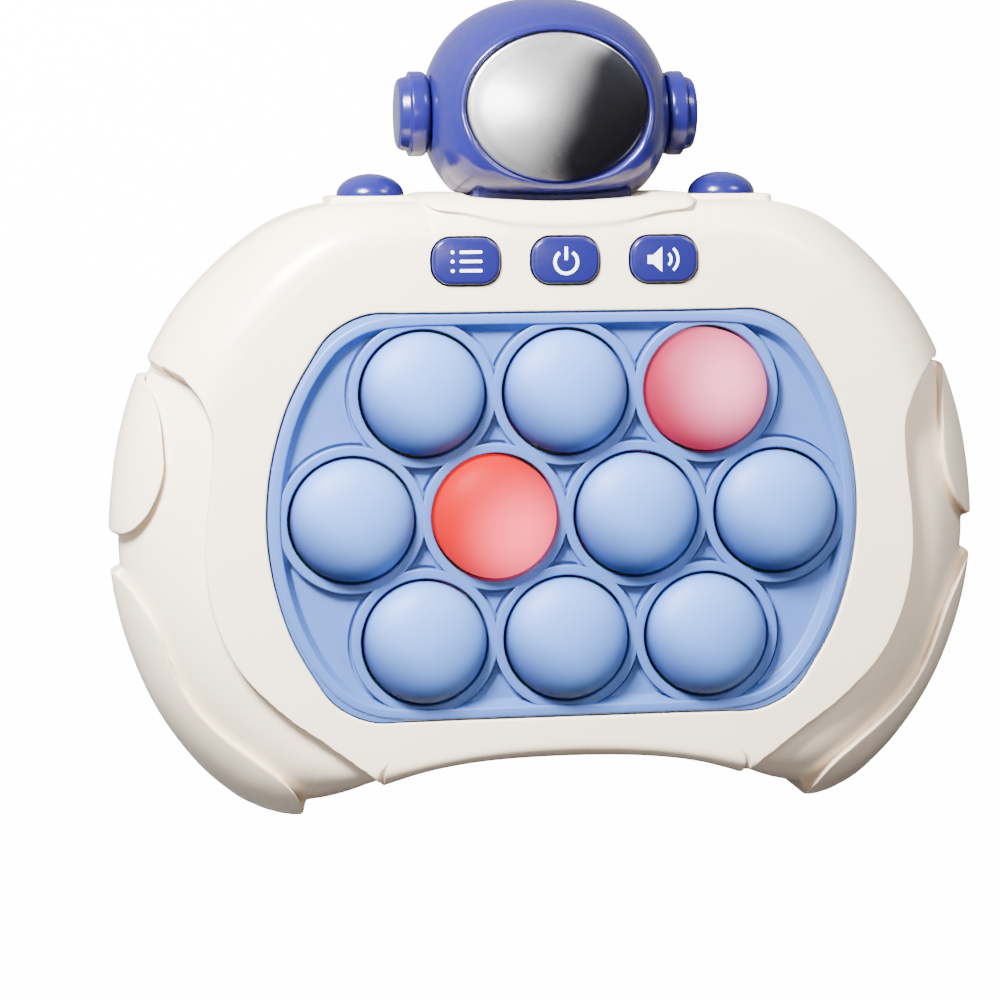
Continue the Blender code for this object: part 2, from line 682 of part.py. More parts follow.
def make_front_shell(material):
    shell = outer_form("front_shell", FRONT_PARTING_Z, FACE_Z, BAND_SINK, FACE_Z + COLLAR_FACE_RAISE,
                       EDGE_HEIGHT_SIDE, EDGE_HEIGHT_MIDDLE)
    cavity = body_pillow("cavity", -CAVITY_INSET, FRONT_PARTING_Z - OVERRUN, BAND_UNDERSIDE_Z,
                         BAND_EDGE_WIDTH, EDGE_HEIGHT_SIDE, EDGE_HEIGHT_MIDDLE, WALL)
    cut(shell, cavity)
    pocket = body_pillow("pocket", -CAVITY_INSET - GAP, PARTING_Z + OVERRUN, FACE_UNDERSIDE_Z,
                         EDGE_WIDTH_SIDE, EDGE_HEIGHT_SIDE, EDGE_HEIGHT_MIDDLE, WALL)
    face_loop = mirrored_outline(scaled(FACE_SHARES, HALF_WIDTH, BODY_TOP), FACE_LOOP_COUNT)
    crossed(pocket, prism("column", moved_in(face_loop, 2 * WALL), -OVERRUN, FACE_Z))
    cut(shell, pocket)
    posts = []
    for place in body_screw_places():
        wall_z = FACE_UNDERSIDE_Z if place[1] > 0 else BAND_UNDERSIDE_Z
        posts.append(rod("post", BODY_POST_RADIUS, FRONT_PARTING_Z, wall_z + WALL / 4, centre=place))
    for place in board_post_places():
        posts.append(rod("post", SCREW_POST_RADIUS, BOARD_TOP_Z + GAP, FACE_UNDERSIDE_Z + WALL / 4,
                         centre=place))
    joined(shell, *posts)
    holes = [rod("hole", BODY_SCREW_RADIUS + GAP, PARTING_Z - OVERRUN,
                 BODY_SCREW_RECESS + BODY_SCREW_LENGTH + OVERRUN, centre=place)
             for place in body_screw_places()]
    holes += [rod("hole", SCREW_RADIUS + GAP, BOARD_TOP_Z, BOARD_TOP_Z + SCREW_LENGTH, centre=place)
              for place in board_post_places()]
    holes.append(prism("opening", moved_in(panel_outline(PANEL_LOOP_COUNT), -GAP),
                       BAND_UNDERSIDE_Z - WALL, FACE_Z + OVERRUN))
    for column in (-1, 0, 1):
        hole = prism("hole", rounded_rectangle(BUTTON_HALF_WIDTH + BUTTON_CLEARANCE,
                                               BUTTON_HALF_HEIGHT + BUTTON_CLEARANCE,
                                               BUTTON_CORNER + BUTTON_CLEARANCE),
                     BAND_UNDERSIDE_Z - WALL, FACE_Z + OVERRUN)
        holes.append(shifted(hole, (column * BUTTON_PITCH, BUTTON_Y, 0)))
    cut(shell, *holes, *shoulder_holes(), *helmet_seat())
    return finished(shell, "front_shell", material)


def bay_box(name, grow, low, high):
    """A box round the battery bay, grown on its four sides."""
    return block(name, (-BAY_HALF_LENGTH - grow, BAY_CENTRE_Y - BAY_HALF_HEIGHT - grow, low),
                 (BAY_HALF_LENGTH + grow, BAY_CENTRE_Y + BAY_HALF_HEIGHT + grow, high))


def door_outline(grow):
    loop = rounded_rectangle(DOOR_HALF_LENGTH + grow, DOOR_HALF_HEIGHT + grow, DOOR_CORNER)
    return loop + (0, BAY_CENTRE_Y)


def door_screw_places():
    """The middles of the door's short ends."""
    return [(side * (BAY_HALF_LENGTH + BAY_WALL + DOOR_SCREW_INSET), BAY_CENTRE_Y) for side in (-1, 1)]


def make_rear_shell(material):
    shell = outer_form("rear_shell", BACK_PARTING_Z, 0, BACK_BAND_SINK, BACK_COLLAR_SINK,
                       BACK_EDGE_HEIGHT_SIDE, BACK_EDGE_HEIGHT_MIDDLE)
    cut(shell, body_pillow("cavity", -CAVITY_INSET, BACK_PARTING_Z + OVERRUN, BACK_BAND_SINK + WALL,
                           BAND_EDGE_WIDTH, BACK_EDGE_HEIGHT_SIDE, BACK_EDGE_HEIGHT_MIDDLE, WALL))
    floor_z = BACK_BAND_SINK + WALL / 2
    posts = [rod("post", BODY_POST_RADIUS, floor_z, BACK_PARTING_Z, centre=place)
             for place in body_screw_places()]
    posts += [rod("post", SCREW_POST_RADIUS + GAP, floor_z, DOOR_THICKNESS + DOOR_SCREW_LENGTH,
                  centre=place) for place in door_screw_places()]
    rib = ring_outline(SPEAKER_RADIUS + GAP + SPEAKER_RIB, ROUND_COUNT, (0, SPEAKER_Y))
    posts.append(prism("rib", rib, floor_z, BACK_BAND_SINK + WALL + SPEAKER_CONE_HEIGHT))
    joined(shell, bay_box("bay", BAY_WALL, floor_z, BAY_ROOF_Z + BAY_WALL), *posts)
    holes = [rod("hole", BODY_SCREW_RADIUS + GAP, 0, PARTING_Z, centre=place)
             for place in body_screw_places()]
    holes += [rod("recess", BODY_SCREW_HEAD_RADIUS + GAP, -OVERRUN, BODY_SCREW_RECESS, centre=place)
              for place in body_screw_places()]
    holes += [rod("hole", DOOR_SCREW_RADIUS + GAP, 0, DOOR_THICKNESS + DOOR_SCREW_LENGTH - OVERRUN,
                  centre=place) for place in door_screw_places()]
    holes.append(prism("door", door_outline(GAP), -OVERRUN, DOOR_THICKNESS + GAP))
    holes.append(bay_box("bay", 0, 0, BAY_ROOF_Z))
    seat = ring_outline(SPEAKER_RADIUS + GAP, ROUND_COUNT, (0, SPEAKER_Y))
    holes.append(prism("seat", seat, BACK_BAND_SINK + WALL, PARTING_Z))
    for row in range(GRILLE_SLOTS):
        middle = SPEAKER_Y + (row - (GRILLE_SLOTS - 1) / 2) * GRILLE_PITCH
        slot = rounded_rectangle(GRILLE_SLOT_HALF_LENGTH, GRILLE_SLOT_WIDTH / 2,
                                 GRILLE_SLOT_WIDTH * GRILLE_CORNER_SHARE, SLOT_CORNER_STEPS)
        holes.append(prism("slot", slot + (0, middle), -OVERRUN, BACK_BAND_SINK + 2 * WALL))
    cut(shell, *holes, *shoulder_holes(), *helmet_seat())
    return finished(shell, "rear_shell", material)


def screw(name, radius, head_radius, head_height, length, place, head_z):
    """A screw seen from the back: its head below, its shank rising from head_z."""
    profile = [(0, length), (radius, length - radius), (radius, 0), (head_radius, 0),
               (head_radius, -head_height), (0, -head_height)]
    return shifted(turned(name, profile, SMALL_ROUND_COUNT), (*place, head_z))


def make_body_screws(material):
    for number, place in enumerate(body_screw_places(), 1):
        piece = screw("screw", BODY_SCREW_RADIUS, BODY_SCREW_HEAD_RADIUS, BODY_SCREW_HEAD_HEIGHT,
                      BODY_SCREW_LENGTH, place, BODY_SCREW_RECESS - GAP)
        finished(piece, f"body_screw_{number}", material)


def make_battery_door(material):
    door = prism("door", door_outline(0), 0, DOOR_THICKNESS)
    holes = [rod("hole", DOOR_SCREW_RADIUS + GAP, -OVERRUN, DOOR_THICKNESS + OVERRUN, centre=place)
             for place in door_screw_places()]
    holes += [rod("recess", DOOR_SCREW_HEAD_RADIUS + GAP, -OVERRUN, DOOR_THICKNESS / 2, centre=place)
              for place in door_screw_places()]
    return finished(cut(door, *holes), "battery_door", material, (0, BAY_CENTRE_Y, 0))


def make_door_screws(material):
    head = DOOR_THICKNESS / 2 - 2 * GAP
    for number, place in enumerate(door_screw_places(), 1):
        piece = screw("screw", DOOR_SCREW_RADIUS, DOOR_SCREW_HEAD_RADIUS, head,
                      DOOR_SCREW_LENGTH - OVERRUN, place, DOOR_THICKNESS / 2 - GAP)
        finished(piece, f"battery_door_screw_{number}", material, (*place, 0))


def make_bubble_panel(material):
    outline = panel_outline(PANEL_LOOP_COUNT)
    plate = prism("plate", outline, PANEL_UNDERSIDE_Z, FACE_Z)
    floor_loop = moved_in(outline, PANEL_RIM_WIDTH)
    cut(plate, prism("floor", floor_loop, PANEL_FLOOR_Z, FACE_Z + OVERRUN))
    flange = prism("flange", moved_in(outline, -PANEL_FLANGE_WIDTH), PANEL_UNDERSIDE_Z,
                   FACE_UNDERSIDE_Z - GAP)
    hole_radius = BUBBLE_RADIUS + BUBBLE_CLEARANCE
    half_deep = PANEL_FLOOR_Z - PANEL_THICKNESS / 2
    rings = [rod("ring", hole_radius + RING_WIDTH, half_deep, FACE_Z - RING_SINK, ROUND_COUNT, place)
             for place in bubble_places()]
    posts = [rod("post", PANEL_POST_RADIUS, BOARD_TOP_Z + GAP, half_deep, SMALL_ROUND_COUNT, place)
             for place in panel_post_places()]
    joined(plate, flange, *rings, *posts)
    holes = [rod("hole", hole_radius, PANEL_UNDERSIDE_Z - OVERRUN, FACE_Z + OVERRUN, ROUND_COUNT, place)
             for place in bubble_places()]
    return finished(cut(plate, *holes), "bubble_panel", material)


def bubble_profile():
    """A hollow dome on a skirt with a flange, from its top round its rim to the hollow's top."""
    top = BUBBLE_HEIGHT
    flange_top = BUBBLE_FLANGE_TOP_Z - FACE_Z
    foot = BUBBLE_FOOT_Z - FACE_Z
    inner = BUBBLE_RADIUS - BUBBLE_WALL
    points = []
    for step in range(DOME_STEPS):
        angle = math.radians(90) * step / DOME_STEPS
        points.append((BUBBLE_RADIUS * math.sin(angle), top * math.cos(angle)))
    points += [(BUBBLE_RADIUS, 0), (BUBBLE_RADIUS, flange_top),
               (BUBBLE_RADIUS + BUBBLE_FLANGE_WIDTH, flange_top),
               (BUBBLE_RADIUS + BUBBLE_FLANGE_WIDTH, foot), (inner, foot), (inner, 0)]
    for step in (1, 0):
        angle = math.radians(90) * step / 2
        points.append((inner * math.sin(angle), (top - BUBBLE_WALL) * math.cos(angle)))
    return points


def make_bubbles(blue, red, pink):
    """The ten bubbles share one mesh shape; two of them are lit."""
    for number, place in enumerate(bubble_places(), 1):
        material = {3: pink, 5: red}.get(number, blue)
        bubble = turned("bubble", bubble_profile(), BUBBLE_COUNT)
        bubble = finished(bubble, f"bubble_{number:02d}", material)
        bubble.location = (*place, FACE_Z)


def make_return_cones(material):
    """The rubber web under each bubble, from the board up to the bubble's flange."""
    top = BUBBLE_FOOT_Z - GAP
    foot = BOARD_TOP_Z + GAP
    profile = [(CONE_SEAT_RADIUS, top), (CONE_FOOT_RADIUS, foot + CONE_WALL), (CONE_FOOT_RADIUS, foot),
               (CONE_FOOT_RADIUS - 2 * CONE_WALL, foot), (CONE_SEAT_RADIUS - CONE_WALL, top)]
    for number, place in enumerate(bubble_places(), 1):
        cone = finished(turned("cone", profile, CONE_COUNT, True), f"return_cone_{number:02d}", material)
        cone.location = (*place, 0)


def board_outline():
    """A wide board with a tab that reaches up behind the front buttons."""
    right = [(BOARD_TAB_HALF_WIDTH, BOARD_TAB_TOP), (BOARD_TAB_HALF_WIDTH, BOARD_HALF_HEIGHT),
             (BOARD_HALF_WIDTH, BOARD_HALF_HEIGHT), (BOARD_HALF_WIDTH, -BOARD_HALF_HEIGHT)]
    left = [(-x, y) for x, y in right[::-1]]
    return right[::-1] + left[::-1]


def tact_switch():
    """A square switch that stands on its foot at zero, with its plunger up."""
    half = SWITCH_SIDE / 2
    body = block("switch", (-half, -half, -OVERRUN), (half, half, SWITCH_HEIGHT))
    top = SWITCH_HEIGHT + SWITCH_PLUNGER_HEIGHT
    return joined(body, rod("plunger", SWITCH_PLUNGER_RADIUS, SWITCH_HEIGHT / 2, top))


def shoulder_switch(side):
    """A switch under the board's tab that faces a shoulder button."""
    height = BOARD_BOTTOM_Z - SWITCH_SIDE / 2 + OVERRUN
    switch = shifted(tact_switch(), turn=(-90, "X"))
    return shifted(switch, (side * SHOULDER_X, SHOULDER_SWITCH_Y - SWITCH_HEIGHT, height))


def make_main_board(material):
    """The board with what is soldered to it: a lamp under each bubble and five switches."""
    board = prism("board", board_outline(), BOARD_BOTTOM_Z, BOARD_TOP_Z)
    low = BOARD_TOP_Z - BOARD_THICKNESS / 2
    lamps = [block("lamp", (x - LED_SIDE / 2, y - LED_SIDE / 2, low),
                   (x + LED_SIDE / 2, y + LED_SIDE / 2, BOARD_TOP_Z + LED_HEIGHT))
             for x, y in bubble_places()]
    switches = [shifted(tact_switch(), (column * BUTTON_PITCH, BUTTON_Y, BOARD_TOP_Z))
                for column in (-1, 0, 1)]
    switches += [shoulder_switch(side) for side in (-1, 1)]
    joined(board, *lamps, *switches)
    holes = [rod("hole", SCREW_RADIUS + GAP, BOARD_BOTTOM_Z - OVERRUN, BOARD_TOP_Z + OVERRUN, centre=place)
             for place in board_post_places()]
    return finished(cut(board, *holes), "main_board", material)


def make_board_screws(material):
    length = BOARD_THICKNESS + SCREW_LENGTH - OVERRUN
    for number, place in enumerate(board_post_places(), 1):
        piece = screw("screw", SCREW_RADIUS, SCREW_HEAD_RADIUS, SCREW_HEAD_HEIGHT, length, place,
                      BOARD_BOTTOM_Z - GAP)
        finished(piece, f"board_screw_{number}", material)


def make_chip(material):
    top = BOARD_BOTTOM_Z - GAP
    chip = block("chip", (CHIP_X - CHIP_SIDE / 2, CHIP_Y - CHIP_SIDE / 2, top - CHIP_HEIGHT),
                 (CHIP_X + CHIP_SIDE / 2, CHIP_Y + CHIP_SIDE / 2, top))
    return finished(chip, "control_chip", material)


def make_front_buttons(material):
    """Menu, power and volume: a cap through the face, a flange under it and a stem."""
    for column, name in enumerate(("menu_button", "power_button", "volume_button"), -1):
        top = FACE_Z + BUTTON_STAND
        cap = prism("cap", rounded_rectangle(BUTTON_HALF_WIDTH, BUTTON_HALF_HEIGHT, BUTTON_CORNER),
                    FACE_UNDERSIDE_Z - 2 * GAP, top)
        cap = bevelled(cap, BUTTON_BEVEL)
        flange = prism("flange", rounded_rectangle(BUTTON_HALF_WIDTH + BUTTON_FLANGE_WIDTH,
                                                   BUTTON_HALF_HEIGHT + BUTTON_FLANGE_WIDTH,
                                                   BUTTON_CORNER),
                       FACE_UNDERSIDE_Z - GAP - BUTTON_FLANGE_THICKNESS, FACE_UNDERSIDE_Z - GAP)
        switch_top = BOARD_TOP_Z + SWITCH_HEIGHT + SWITCH_PLUNGER_HEIGHT
        stem = rod("stem", BUTTON_STEM_RADIUS, switch_top + BUTTON_TRAVEL + GAP, FACE_UNDERSIDE_Z - OVERRUN)
        button = shifted(joined(cap, flange, stem), (column * BUTTON_PITCH, BUTTON_Y, 0))
        finished(button, name, material, (column * BUTTON_PITCH, BUTTON_Y, FACE_Z))


def make_shoulder_buttons(material):
    """Low domes on the top edge, each with a flange behind the wall and a stem."""
    base = BODY_TOP + PEDESTAL_RAISE
    profile = [(0, base + SHOULDER_DOME_HEIGHT)]
    for step in range(1, DOME_STEPS):
        angle = math.radians(90) * step / DOME_STEPS
        profile.append((SHOULDER_RADIUS * math.sin(angle), base + SHOULDER_DOME_HEIGHT * math.cos(angle)))
    flange = SHOULDER_RADIUS + SHOULDER_FLANGE_WIDTH
    low = SHOULDER_FLANGE_TOP - SHOULDER_FLANGE_THICKNESS
    profile += [(SHOULDER_RADIUS, base), (SHOULDER_RADIUS, SHOULDER_FLANGE_TOP),
                (flange, SHOULDER_FLANGE_TOP), (flange, low), (SHOULDER_STEM_RADIUS, low),
                (SHOULDER_STEM_RADIUS, SHOULDER_STEM_END), (0, SHOULDER_STEM_END)]
    for side, name in ((-1, "shoulder_button_left"), (1, "shoulder_button_right")):
        button = shifted(turned("button", profile), turn=(-90, "X"))
        button = finished(shifted(button, (0, -base, 0)), name, material)
        button.location = (side * SHOULDER_X, base, SHOULDER_Z)


def helmet_pillow(name, inset, foot_z, face_z, edge_height, steps=EDGE_RINGS):
    """A pillow on the helmet's outline, rounded less at the chin than above."""
    loop = helmet_outline(-inset)
    chin = HELMET_CENTRE_Y - HELMET_HALF_HEIGHT
    share = eased(chin + HELMET_HALF_HEIGHT * CHIN_SHARE, HELMET_CENTRE_Y, loop[:, 1])
    width = HELMET_CHIN_EDGE_WIDTH + (HELMET_EDGE_WIDTH - HELMET_CHIN_EDGE_WIDTH) * share
    return pillow(name, loop, foot_z, face_z, width, edge_height, steps)


def visor_outline(grow):
    angles = np.linspace(0, 2 * math.pi, VISOR_LOOP_COUNT, endpoint=False)
    return np.column_stack([(VISOR_HALF_WIDTH + grow) * np.cos(angles),
                            VISOR_CENTRE_Y + (VISOR_HALF_HEIGHT + grow) * np.sin(angles)])


def neck_block():
    """The neck, with the flange that the shells hold; both helmet halves have their part of it."""
    flange_top = BODY_TOP - CAVITY_INSET - GAP
    flange_low = flange_top - NECK_FLANGE_THICKNESS
    neck = block("neck", (-NECK_HALF_WIDTH, flange_low + GAP, PARTING_Z - NECK_HALF_DEPTH),
                 (NECK_HALF_WIDTH, BODY_TOP + 2 * WALL, PARTING_Z + NECK_HALF_DEPTH))
    reach = NECK_HALF_WIDTH + NECK_FLANGE_WIDTH
    deep = NECK_HALF_DEPTH + NECK_FLANGE_WIDTH
    flange = block("flange", (-reach, flange_low, PARTING_Z - deep), (reach, flange_top, PARTING_Z + deep))
    return joined(neck, flange)


def ear_seats():
    """The round seats for the ear caps, cut into both helmet halves."""
    seats = []
    for side in (1, -1):
        seat = rod("seat", EAR_RADIUS + GAP, EAR_SEAT_X, EAR_CAP_X, ROUND_COUNT)
        shifted(seat, (0, EAR_CENTRE_Y, PARTING_Z), (90 * side, "Y"))
        seats.append(seat)
    return seats


def helmet_screw_places():
    return [(side * HELMET_SCREW_X, VISOR_CENTRE_Y) for side in (-1, 1)]


def make_helmet_front(material):
    helmet = helmet_pillow("helmet", 0, PARTING_Z - OVERRUN, HELMET_FACE_Z, HELMET_FRONT_DEPTH)
    ledge_z = VISOR_SEAT_Z - GAP
    cut(helmet, helmet_pillow("cavity", HELMET_WALL, PARTING_Z - 2 * OVERRUN,
                              ledge_z - VISOR_LEDGE_THICKNESS, HELMET_FRONT_DEPTH - HELMET_WALL,
                              INNER_EDGE_RINGS),
        prism("opening", visor_outline(GAP), ledge_z, HELMET_FACE_Z + OVERRUN),
        prism("lamp", visor_outline(-VISOR_LEDGE), PARTING_Z, HELMET_FACE_Z))
    posts = [rod("post", HELMET_POST_RADIUS, PARTING_Z - 3 * OVERRUN,
                 ledge_z - VISOR_LEDGE_THICKNESS / 2, centre=place) for place in helmet_screw_places()]
    joined(helmet, neck_block(), *posts)
    crossed(helmet, half_space(FRONT_PARTING_Z, 1))
    holes = [rod("hole", SCREW_RADIUS + GAP, PARTING_Z - OVERRUN, PARTING_Z + SCREW_LENGTH,
                 centre=place) for place in helmet_screw_places()]
    return finished(cut(helmet, *holes, *ear_seats()), "helmet_front", material)


def make_helmet_rear(material):
    back_z = PARTING_Z - HELMET_BACK_DEPTH
    helmet = helmet_pillow("helmet", 0, PARTING_Z + OVERRUN, back_z, HELMET_BACK_DEPTH)
    cut(helmet, helmet_pillow("cavity", HELMET_WALL, PARTING_Z + 2 * OVERRUN, back_z + HELMET_WALL,
                              HELMET_BACK_DEPTH - HELMET_WALL, INNER_EDGE_RINGS))
    posts = []
    for place in helmet_screw_places():
        post = rod("post", HELMET_POST_RADIUS + 2 * GAP, back_z, PARTING_Z + OVERRUN, centre=place)
        posts.append(crossed(post, helmet_pillow("within", HELMET_WALL / 2, PARTING_Z + 3 * OVERRUN,
                                                 back_z + HELMET_WALL / 2, HELMET_BACK_DEPTH)))
    seat_z = PARTING_Z - SCREW_LENGTH
    joined(helmet, neck_block(), *posts)
    crossed(helmet, half_space(BACK_PARTING_Z, -1))
    holes = [rod("hole", SCREW_RADIUS + GAP, seat_z - OVERRUN, PARTING_Z, centre=place)
             for place in helmet_screw_places()]
    holes += [rod("recess", SCREW_HEAD_RADIUS + GAP, back_z - OVERRUN, seat_z, centre=place)
              for place in helmet_screw_places()]
    return finished(cut(helmet, *holes, *ear_seats()), "helmet_rear", material)


def make_helmet_screws(material):
    seat_z = PARTING_Z - SCREW_LENGTH
    for number, place in enumerate(helmet_screw_places(), 1):
        piece = screw("screw", SCREW_RADIUS, SCREW_HEAD_RADIUS, SCREW_HEAD_HEIGHT,
                      2 * SCREW_LENGTH - OVERRUN, place, seat_z - GAP)
        finished(piece, f"helmet_screw_{number}", material)


def make_visor(material):
    """A slightly crowned mirror plate on the ledge in the helmet's opening."""
    outline = visor_outline(0)
    centre = np.array((0, VISOR_CENTRE_Y))
    rings = [at_height(outline, VISOR_SEAT_Z)]
    for share in VISOR_RING_SHARES:
        height = VISOR_SEAT_Z + VISOR_THICKNESS + VISOR_CROWN * (1 - share ** 2)
        rings.append(at_height(centre + (outline - centre) * share, height))
    return finished(loft("visor", rings), "visor", material)


def make_ear_caps(material):
    """Two-stepped round caps at the helmet's sides."""
    seat = EAR_SEAT_X + GAP
    profile = [(0, EAR_CAP_X), (EAR_CAP_RADIUS - EAR_ROUNDING, EAR_CAP_X),
               (EAR_CAP_RADIUS, EAR_CAP_X - EAR_ROUNDING), (EAR_CAP_RADIUS, EAR_RIM_X),
               (EAR_RADIUS - EAR_ROUNDING, EAR_RIM_X), (EAR_RADIUS, EAR_RIM_X - EAR_ROUNDING),
               (EAR_RADIUS, seat), (0, seat)]
    for side, name in ((-1, "ear_cap_left"), (1, "ear_cap_right")):
        cap = shifted(turned("cap", profile), turn=(90 * side, "Y"))
        finished(shifted(cap, (0, EAR_CENTRE_Y, PARTING_Z)), name, material)


def cell_rows():
    """Each cell's number, its place across the bay and the way that it points."""
    return [(row, BAY_CENTRE_Y + (row - 2) * CELL_PITCH, 1 if row % 2 else -1) for row in (1, 2, 3)]


def make_cells(material):
    for row, middle, way in cell_rows():
        half = CELL_LENGTH / 2
        profile = [(0, half), (CELL_NUB_RADIUS, half), (CELL_NUB_RADIUS, half - CELL_NUB_LENGTH),
                   (CELL_RADIUS, half - CELL_NUB_LENGTH), (CELL_RADIUS, -half), (0, -half)]
        cell = shifted(turned("cell", profile), (0, middle, CELL_Z), (90 * way, "Y"))
        finished(cell, f"battery_cell_{row}", material, (0, middle, CELL_Z))


def contact_plate(low_y, high_y, side):
    """A thin plate against one end wall of the bay, behind one cell or two."""
    outer = side * (BAY_HALF_LENGTH - GAP)
    inner = side * (BAY_HALF_LENGTH - GAP - CONTACT_THICKNESS)
    low = (min(outer, inner), low_y - CONTACT_HALF_WIDTH, CELL_Z - CONTACT_HALF_WIDTH)
    high = (max(outer, inner), high_y + CONTACT_HALF_WIDTH, CELL_Z + CONTACT_HALF_WIDTH)
    return block("plate", low, high)


def contact_spring(middle, side):
    """A conical wire spring between the plate and the flat end of a cell."""
    start = BAY_HALF_LENGTH - GAP - CONTACT_THICKNESS
    end = CELL_LENGTH / 2 + GAP + SPRING_WIRE_RADIUS
    curve = bpy.data.curves.new("spring", "CURVE")
    curve.dimensions = "3D"
    curve.bevel_depth = SPRING_WIRE_RADIUS
    curve.bevel_resolution = 1
    curve.use_fill_caps = True
    line = curve.splines.new("POLY")
    count = SPRING_TURNS * SPRING_TURN_POINTS + 1
    line.points.add(count - 1)
    for number, point in enumerate(line.points):
        share = number / (count - 1)
        radius = SPRING_RADIUS + (SPRING_TIP_RADIUS - SPRING_RADIUS) * share
        angle = 2 * math.pi * SPRING_TURNS * share
        point.co = (side * (start + (end - start) * share), middle + radius * math.cos(angle),
                    CELL_Z + radius * math.sin(angle), 1)
    return curve_piece("spring", curve)


def curve_piece(name, curve):
    """A curve's tube as a mesh object."""
    guide = bpy.data.objects.new(name, curve)
    bpy.context.scene.collection.objects.link(guide)
    bpy.context.view_layer.update()
    mesh = bpy.data.meshes.new_from_object(guide.evaluated_get(bpy.context.evaluated_depsgraph_get()))
    bpy.data.objects.remove(guide)
    build = bmesh.new()
    build.from_mesh(mesh)
    bmesh.ops.remove_doubles(build, verts=build.verts[:], dist=MERGE_DISTANCE)
    return new_object(name, build)


def make_contacts(material):
    """Each end of the bay has a single contact and one that links two cells."""
    rows = {row: (middle, way) for row, middle, way in cell_rows()}
    plates = (("left_single", -1, (1,)), ("left_double", -1, (2, 3)),
              ("right_double", 1, (1, 2)), ("right_single", 1, (3,)))
    for name, side, served in plates:
        middles = [rows[row][0] for row in served]
        plate = contact_plate(min(middles), max(middles), side)
        springs = [contact_spring(rows[row][0], side) for row in served if rows[row][1] == -side]
        finished(joined(plate, *springs), f"battery_contact_{name}", material)


def make_speaker(material):
    seat = BACK_BAND_SINK + WALL + GAP
    cone = seat + SPEAKER_CONE_HEIGHT
    top = cone + SPEAKER_MAGNET_HEIGHT
    profile = [(0, top), (SPEAKER_MAGNET_RADIUS, top), (SPEAKER_MAGNET_RADIUS, cone),
               (SPEAKER_RADIUS, seat + SPEAKER_RIM_HEIGHT), (SPEAKER_RADIUS, seat), (0, seat)]
    speaker = shifted(turned("speaker", profile), (0, SPEAKER_Y, 0))
    return finished(speaker, "speaker", material)


def lead(route):
    """A thin insulated wire along a smooth line through the route's points."""
    curve = bpy.data.curves.new("lead", "CURVE")
    curve.dimensions = "3D"
    curve.bevel_depth = LEAD_RADIUS
    curve.bevel_resolution = 1
    curve.use_fill_caps = True
    line = curve.splines.new("POLY")
    points = smooth_curve(route, LEAD_POINTS, False)
    line.points.add(len(points) - 1)
    for point, place in zip(line.points, points):
        point.co = (*place, 1)
    return curve_piece("lead", curve)


def make_leads(material):
    """The speaker's and the battery's leads, from what they serve up to the board."""
    high = BOARD_BOTTOM_Z - GAP - LEAD_RADIUS
    speaker_top = BACK_BAND_SINK + WALL + GAP + SPEAKER_CONE_HEIGHT + SPEAKER_MAGNET_HEIGHT
    from_speaker = lead([(0, SPEAKER_Y, speaker_top + GAP + LEAD_RADIUS),
                         (LEAD_SLACK, SPEAKER_Y - LEAD_SLACK, (speaker_top + high) / 2),
                         (0, SPEAKER_Y - 2 * LEAD_SLACK, high)])
    finished(from_speaker, "speaker_lead", material)
    across = BAY_HALF_LENGTH / 2
    bay_top = BAY_ROOF_Z + BAY_WALL
    from_bay = lead([(across, BAY_CENTRE_Y, bay_top + GAP + LEAD_RADIUS),
                     (across + LEAD_SLACK, BAY_CENTRE_Y - LEAD_SLACK, (bay_top + high) / 2),
                     (across, BAY_CENTRE_Y - 2 * LEAD_SLACK, high)])
    finished(from_bay, "battery_lead", material)


for leftover in list(bpy.data.objects):
    bpy.data.objects.remove(leftover)

panel_centre = bpy.data.objects.new("panel_centre", None)
bpy.context.scene.collection.objects.link(panel_centre)

shell_white = colour_material("shell_white", (0.86, 0.83, 0.79), 0.30, 0.0)
royal_blue = colour_material("royal_blue", (0.065, 0.092, 0.48), 0.28, 0.0)
panel_blue = colour_material("panel_blue", (0.36, 0.52, 0.84), 0.42, 0.0)
bubble_blue = colour_material("bubble_blue", (0.42, 0.57, 0.86), 0.38, 0.0)
bubble_red = colour_material("bubble_red", (0.95, 0.12, 0.12), 0.38, 0.0)
bubble_pink = colour_material("bubble_pink", (0.86, 0.36, 0.45), 0.38, 0.0)
mirror_silver = colour_material("mirror_silver", (0.80, 0.80, 0.80), 0.22, 1.0)
rubber_clear = colour_material("rubber_clear", (0.75, 0.78, 0.82), 0.60, 0.0)
board_green = colour_material("board_green", (0.03, 0.20, 0.08), 0.50, 0.0)
chip_black = colour_material("chip_black", (0.02, 0.02, 0.02), 0.45, 0.0)
steel = colour_material("steel", (0.56, 0.56, 0.58), 0.32, 1.0)
cell_grey = colour_material("cell_grey", (0.16, 0.17, 0.19), 0.35, 0.6)
lead_red = colour_material("lead_red", (0.55, 0.04, 0.03), 0.50, 0.0)

front_shell = make_front_shell(shell_white)
make_rear_shell(shell_white)
make_body_screws(steel)
make_battery_door(shell_white)
make_door_screws(steel)
make_bubble_panel(panel_blue)
make_bubbles(bubble_blue, bubble_red, bubble_pink)
make_return_cones(rubber_clear)
make_main_board(board_green)
make_board_screws(steel)
make_chip(chip_black)
make_front_buttons(royal_blue)
make_shoulder_buttons(royal_blue)
helmet_front = make_helmet_front(royal_blue)
make_helmet_rear(royal_blue)
make_helmet_screws(steel)
make_visor(mirror_silver)
make_ear_caps(royal_blue)
make_cells(cell_grey)
make_contacts(steel)
make_speaker(chip_black)
make_leads(lead_red)

heights = [vertex.co.y for piece in (front_shell, helmet_front) for vertex in piece.data.vertices]
panel_centre.location = (0, -(min(heights) + max(heights)) / 2, 0)
